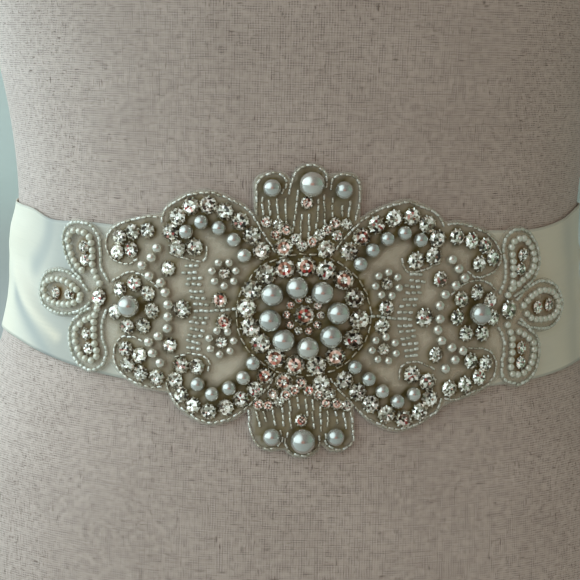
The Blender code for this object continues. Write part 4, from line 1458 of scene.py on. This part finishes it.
def cup_template():
    """Claw setting: an open cup with claws that lean over the stone."""
    bm = bmesh.new()
    height = CUP["height"]
    cup = bmesh.ops.create_cone(bm, segments=CUP["sides"], radius1=CUP["foot"], radius2=CUP["rim"],
                                depth=height)["verts"]
    bmesh.ops.translate(bm, verts=cup, vec=(0, 0, height / 2))
    for i in range(CLAWS):
        claw = bmesh.ops.create_cone(bm, segments=4, radius1=CLAW["foot"], radius2=CLAW["tip"],
                                     depth=CLAW["length"], cap_ends=True)["verts"]
        turned(bm, claw, CLAW["lean"], "Y")
        bmesh.ops.translate(bm, verts=claw, vec=(CLAW["out"], 0, height + CLAW["rise"]))
        turned(bm, claw, 360 * i / CLAWS, "Z")
    return template(bm)


def tube_template(radius, rounding):
    """Short glass tube lying along X, six-sided, with rounded ends."""
    bm = bmesh.new()
    bmesh.ops.create_cone(bm, segments=6, radius1=radius, radius2=radius, depth=2.0, cap_ends=True)
    rims = [edge for edge in bm.edges if abs(edge.verts[0].co.z - edge.verts[1].co.z) < WELD]
    bmesh.ops.bevel(bm, geom=rims, offset=rounding, segments=1, profile=0.5, affect="EDGES", material=-1)
    turned(bm, bm.verts, 90, "Y")
    bmesh.ops.translate(bm, verts=bm.verts, vec=(0, 0, radius * TUBE_SINK))
    return template(bm)


TEMPLATES = {
    "pearl": pearl_template(4),
    "small_pearl": pearl_template(3),
    "seed_pearl": pearl_template(2),
    "stone": stone_template(),
    "setting": cup_template(),
    "tube": tube_template(*TUBE),
    "long_tube": tube_template(*LONG_TUBE),
    "seed": tube_template(*SEED),
}
print({name: len(faces) for name, (corners, faces) in TEMPLATES.items()})

# %% [markdown]
# ## Finishes of the beads
#
# A glass pearl has a soft deep gloss: a satiny body under a clear coat. A foil-backed stone is a bundle of
# mirrors, so each facet carries a painted reflection as its own random tone, from black through cream to
# white, the bright ones with a faint painted glow, and a few facets show a painted warm fire of the glass.
# The tubes are clear glass round a silver lining.

# %% Finishes of the pearls
PEARL_STOPS = ((0.1, (0.56, 0.56, 0.52)), (0.5, (0.64, 0.63, 0.58)), (0.9, (0.72, 0.69, 0.62)))
PEARL_CREAM = (0.86, 0.78, 0.64)
SEED_PEARL_COLOURS = ((0.66, 0.63, 0.51), (0.76, 0.74, 0.63))
SEED_PEARL_BLOOM = (0.54, 0.52, 0.42)


def bead_finish(name, scale, detail, values):
    """Material of a bead, the bead's own tone, and a fine noise over it."""
    finish = Finish(name, values)
    return finish, finish.attribute("tone"), finish.noise(finish.place(), scale, detail)


def pearl_finish(name, cream):
    """Pale satiny body under a clear coat, with a share of cream."""
    values = {"Coat Weight": 1.0, "Coat Roughness": 0.08, "Metallic": 0.75}
    finish, tone, bloom = bead_finish(name, 420.0, 2.0, values)
    body = finish.mix(cream, finish.ramp(tone * 0.7 + bloom * 0.3, PEARL_STOPS), PEARL_CREAM)
    finish.set({"Base Color": body, "Roughness": 0.15 + bloom * 0.06})
    finish.bump(bloom, 0.05, 0.0001)
    return finish


def seed_pearl_finish():
    """Creamy tiny pearls of the leaves."""
    values = {"Coat Weight": 0.9, "Coat Roughness": 0.06, "Metallic": 0.4, "Roughness": 0.24}
    finish, tone, bloom = bead_finish("seed_pearl", 600.0, 2.0, values)
    cream = finish.mix(tone, *SEED_PEARL_COLOURS)
    finish.set({"Base Color": finish.mix(bloom * 0.3, cream, SEED_PEARL_BLOOM)})
    return finish


print("pearl finishes ready")

# %% Finishes of stones and settings
# Facets by their tone: painted reflections in the glass, painted fire in the fiery ones, and the painted glow
# that they give off
FACET_REFLECTION_STOPS = (
    (0.08, (0.05, 0.037, 0.025)),
    (0.25, (0.20, 0.14, 0.085)),
    (0.42, (0.56, 0.50, 0.38)),
    (0.64, (0.80, 0.76, 0.65)),
    (0.85, (0.93, 0.94, 0.88)),
)
PAINTED_FIRE_STOPS = ((0.1, (0.30, 0.02, 0.03)), (0.5, (0.48, 0.09, 0.08)), (0.9, (0.80, 0.42, 0.34)))
PAINTED_GLOW_STOPS = ((0.5, (0.0, 0.0, 0.0)), (0.75, (0.13, 0.13, 0.11)), (1.0, (0.38, 0.39, 0.36)))
PAINTED_FIRE_GLOW = (0.06, 0.006, 0.006)
SETTING_COLOURS = ((0.88, 0.84, 0.75), (0.48, 0.41, 0.31))


def stone_finish():
    """Facets of foil-backed glass, each with a painted reflection as a tone of its own, some with painted
    fire, and a painted glow.
    """
    values = {"Metallic": 0.8, "Coat Weight": 1.0, "Coat Roughness": 0.02, "Emission Strength": 1.0}
    finish, tone, smudge_and_glint = bead_finish("crystal", 1500.0, 2.0, values)
    fire = finish.attribute("fire")
    # The base colour holds painted reflections and painted fire over the real mirroring of metal and coat;
    # the emission is a painted glow
    glass = finish.ramp(tone + (smudge_and_glint - 0.5) * 0.5, FACET_REFLECTION_STOPS)
    glass = finish.mix(fire * 0.85, glass, finish.ramp(tone, PAINTED_FIRE_STOPS))
    painted_glow = finish.mix(fire, finish.ramp(tone, PAINTED_GLOW_STOPS), PAINTED_FIRE_GLOW)
    finish.set({"Base Color": glass, "Emission Color": painted_glow, "Roughness": 0.07 + smudge_and_glint * 0.10})
    return finish


def setting_finish():
    """Warm silver of the claw settings, with random darker tarnish."""
    finish = Finish("setting", {"Metallic": 1.0})
    tarnish = finish.noise(finish.place(), 700.0, 3.0)
    colour = finish.mix(tarnish.between(0.4, 0.7), *SETTING_COLOURS)
    finish.set({"Base Color": colour, "Roughness": 0.22 + tarnish * 0.2})
    return finish


print("stone and setting finishes ready")

# %% Finishes of tubes and seeds
TUBE_STOPS = (
    (0.1, (0.34, 0.29, 0.20)),
    (0.35, (0.66, 0.61, 0.50)),
    (0.75, (0.86, 0.84, 0.75)),
    (1.0, (0.98, 0.97, 0.92)),
)
GILDED = (0.36, 0.27, 0.14)
SEED_COLOURS = ((0.46, 0.45, 0.35), (0.86, 0.87, 0.78))
SEED_GLINT = (0.42, 0.39, 0.30)


def tube_finish(name, gilding):
    """Clear glass round a silver lining, which goes golden with its gilding."""
    values = {"Metallic": 0.6, "Coat Weight": 1.0, "Coat Roughness": 0.05}
    finish, tone, streak = bead_finish(name, 1500.0, 1.0, values)
    colour = finish.mix(gilding, finish.ramp(tone * 0.75 + streak * 0.25, TUBE_STOPS), GILDED)
    finish.set({"Base Color": colour, "Roughness": 0.18 + streak * 0.15})
    return finish


def seed_finish():
    """Clear glass seeds, pale over the pale ribbon."""
    values = {"Metallic": 0.3, "Coat Weight": 1.0, "Coat Roughness": 0.05, "Roughness": 0.2}
    finish, tone, glint = bead_finish("seed", 1300.0, 1.0, values)
    colour = finish.mix(tone, *SEED_COLOURS)
    finish.set({"Base Color": finish.mix(glint.between(0.5, 0.7) * 0.5, colour, SEED_GLINT)})
    return finish


FINISHES = {
    "pearl": (pearl_finish("pearl", 0.0), "pearl"),
    "small_pearl": (pearl_finish("small_pearl", 0.55), "pearl"),
    "stone": (stone_finish(), "crystal"),
    "setting": (setting_finish(), "setting"),
    "tube": (tube_finish("bugle", 0.1), "bugle"),
    "long_tube": (tube_finish("gilt_bugle", 0.6), "bugle"),
    "seed": (seed_finish(), "bugle"),
    "seed_pearl": (seed_pearl_finish(), "pearl"),
}
print("finishes:", sorted(FINISHES))

# %% [markdown]
# ## Sewing the beads on
#
# Each copy gets its own little set of axes on the curved cloth: one along the waist, one up and one straight
# out. Numpy does that for all copies of one kind in a sub-part at once, and one mesh holds them. Small random
# leans keep the stones from flashing all together, as on hand-sewn work.

# %% Sewing
# How far beads may lean, pearls not at all
LEANS = {"stone": 0.10, "setting": 0.10, "tube": 0.05, "long_tube": 0.05, "seed": 0.05}
FACETED = ("stone", "setting")
# Shares of the stones that have facets with painted fire, and of the facets with painted fire in them
FIERY_STONES = 0.45
FIERY_FACETS = 0.13
STEP = 0.1


def axes_on_cloth(u, v):
    """Place, and the directions along the waist and out of the cloth."""
    here = on_ribbon(u, v, ORGANZA_TOP)
    across = unit(on_ribbon(u + STEP, v, ORGANZA_TOP) - here)
    out = unit(np.cross(across, on_ribbon(u, v + STEP, ORGANZA_TOP) - here))
    return here, across, out


def toned(mesh, kind, copies):
    """Tones of a mesh's copies: one for each facet of stones and settings, else one for each bead; on stones
    the tones are painted reflections, and some facets get painted fire.
    """
    corners, faces = TEMPLATES[kind]
    if kind in FACETED:
        tones = dice.random(copies * len(faces))
        fiery = np.repeat(dice.random(copies) < FIERY_STONES, len(faces))
        inner = [np.hypot(*corners[face].mean(axis=0)[:2]) < TABLE_SHARE for face in faces]
        fires = (fiery & np.tile(inner, copies) & (dice.random(len(tones)) < FIERY_FACETS)).astype(float)
        mesh.attributes.new("fire", "FLOAT", "FACE").data.foreach_set("value", fires)
    else:
        mesh.shade_smooth()
        tones = np.repeat(dice.random(copies), len(faces))
    mesh.attributes.new("tone", "FLOAT", "FACE").data.foreach_set("value", tones)


def sewn(name, kind, rows, leans):
    """One mesh of all the copies of a template."""
    corners, faces = TEMPLATES[kind]
    leans = LEANS.get(kind, 0.0) * leans
    x, y, size, turn = np.array(rows, float).T
    here, across, out = axes_on_cloth(APPLIQUE_CENTRE[0] + x, APPLIQUE_CENTRE[1] + y)
    out = unit(out + leans[:, :1] * across + leans[:, 1:] * np.cross(out, across))
    upward = unit(np.cross(out, across))
    across = np.cross(upward, out)
    turn = np.radians(turn)[:, None]
    along = across * np.cos(turn) + upward * np.sin(turn)
    sideways = np.cross(out, along)
    axes = np.stack([along, sideways, out], 1) * size[:, None, None] * MM
    points = here[:, None] * MM + np.einsum("ck,nkj->ncj", corners, axes)
    starts = np.arange(len(rows)) * len(corners)
    copies = [[i + start for i in face] for start in starts for face in faces]
    mesh = bpy.data.meshes.new(name)
    mesh.from_pydata(points.reshape(-1, 3), [], copies)
    toned(mesh, kind, len(rows))
    finish, slot = FINISHES[kind]
    return piece(name, mesh, finish)


def sew_all():
    """Every kind of bead of every sub-part, and a setting under each stone."""
    for (part, kind), rows in sorted(PLAN.items()):
        leans = dice.uniform(-1, 1, (len(rows), 2))
        made = sewn(f"{part}_{kind}s", kind, rows, leans)
        if kind == "stone":
            sewn(f"{part}_settings", "setting", rows, leans)
        print(made.name, len(rows))


sew_all()
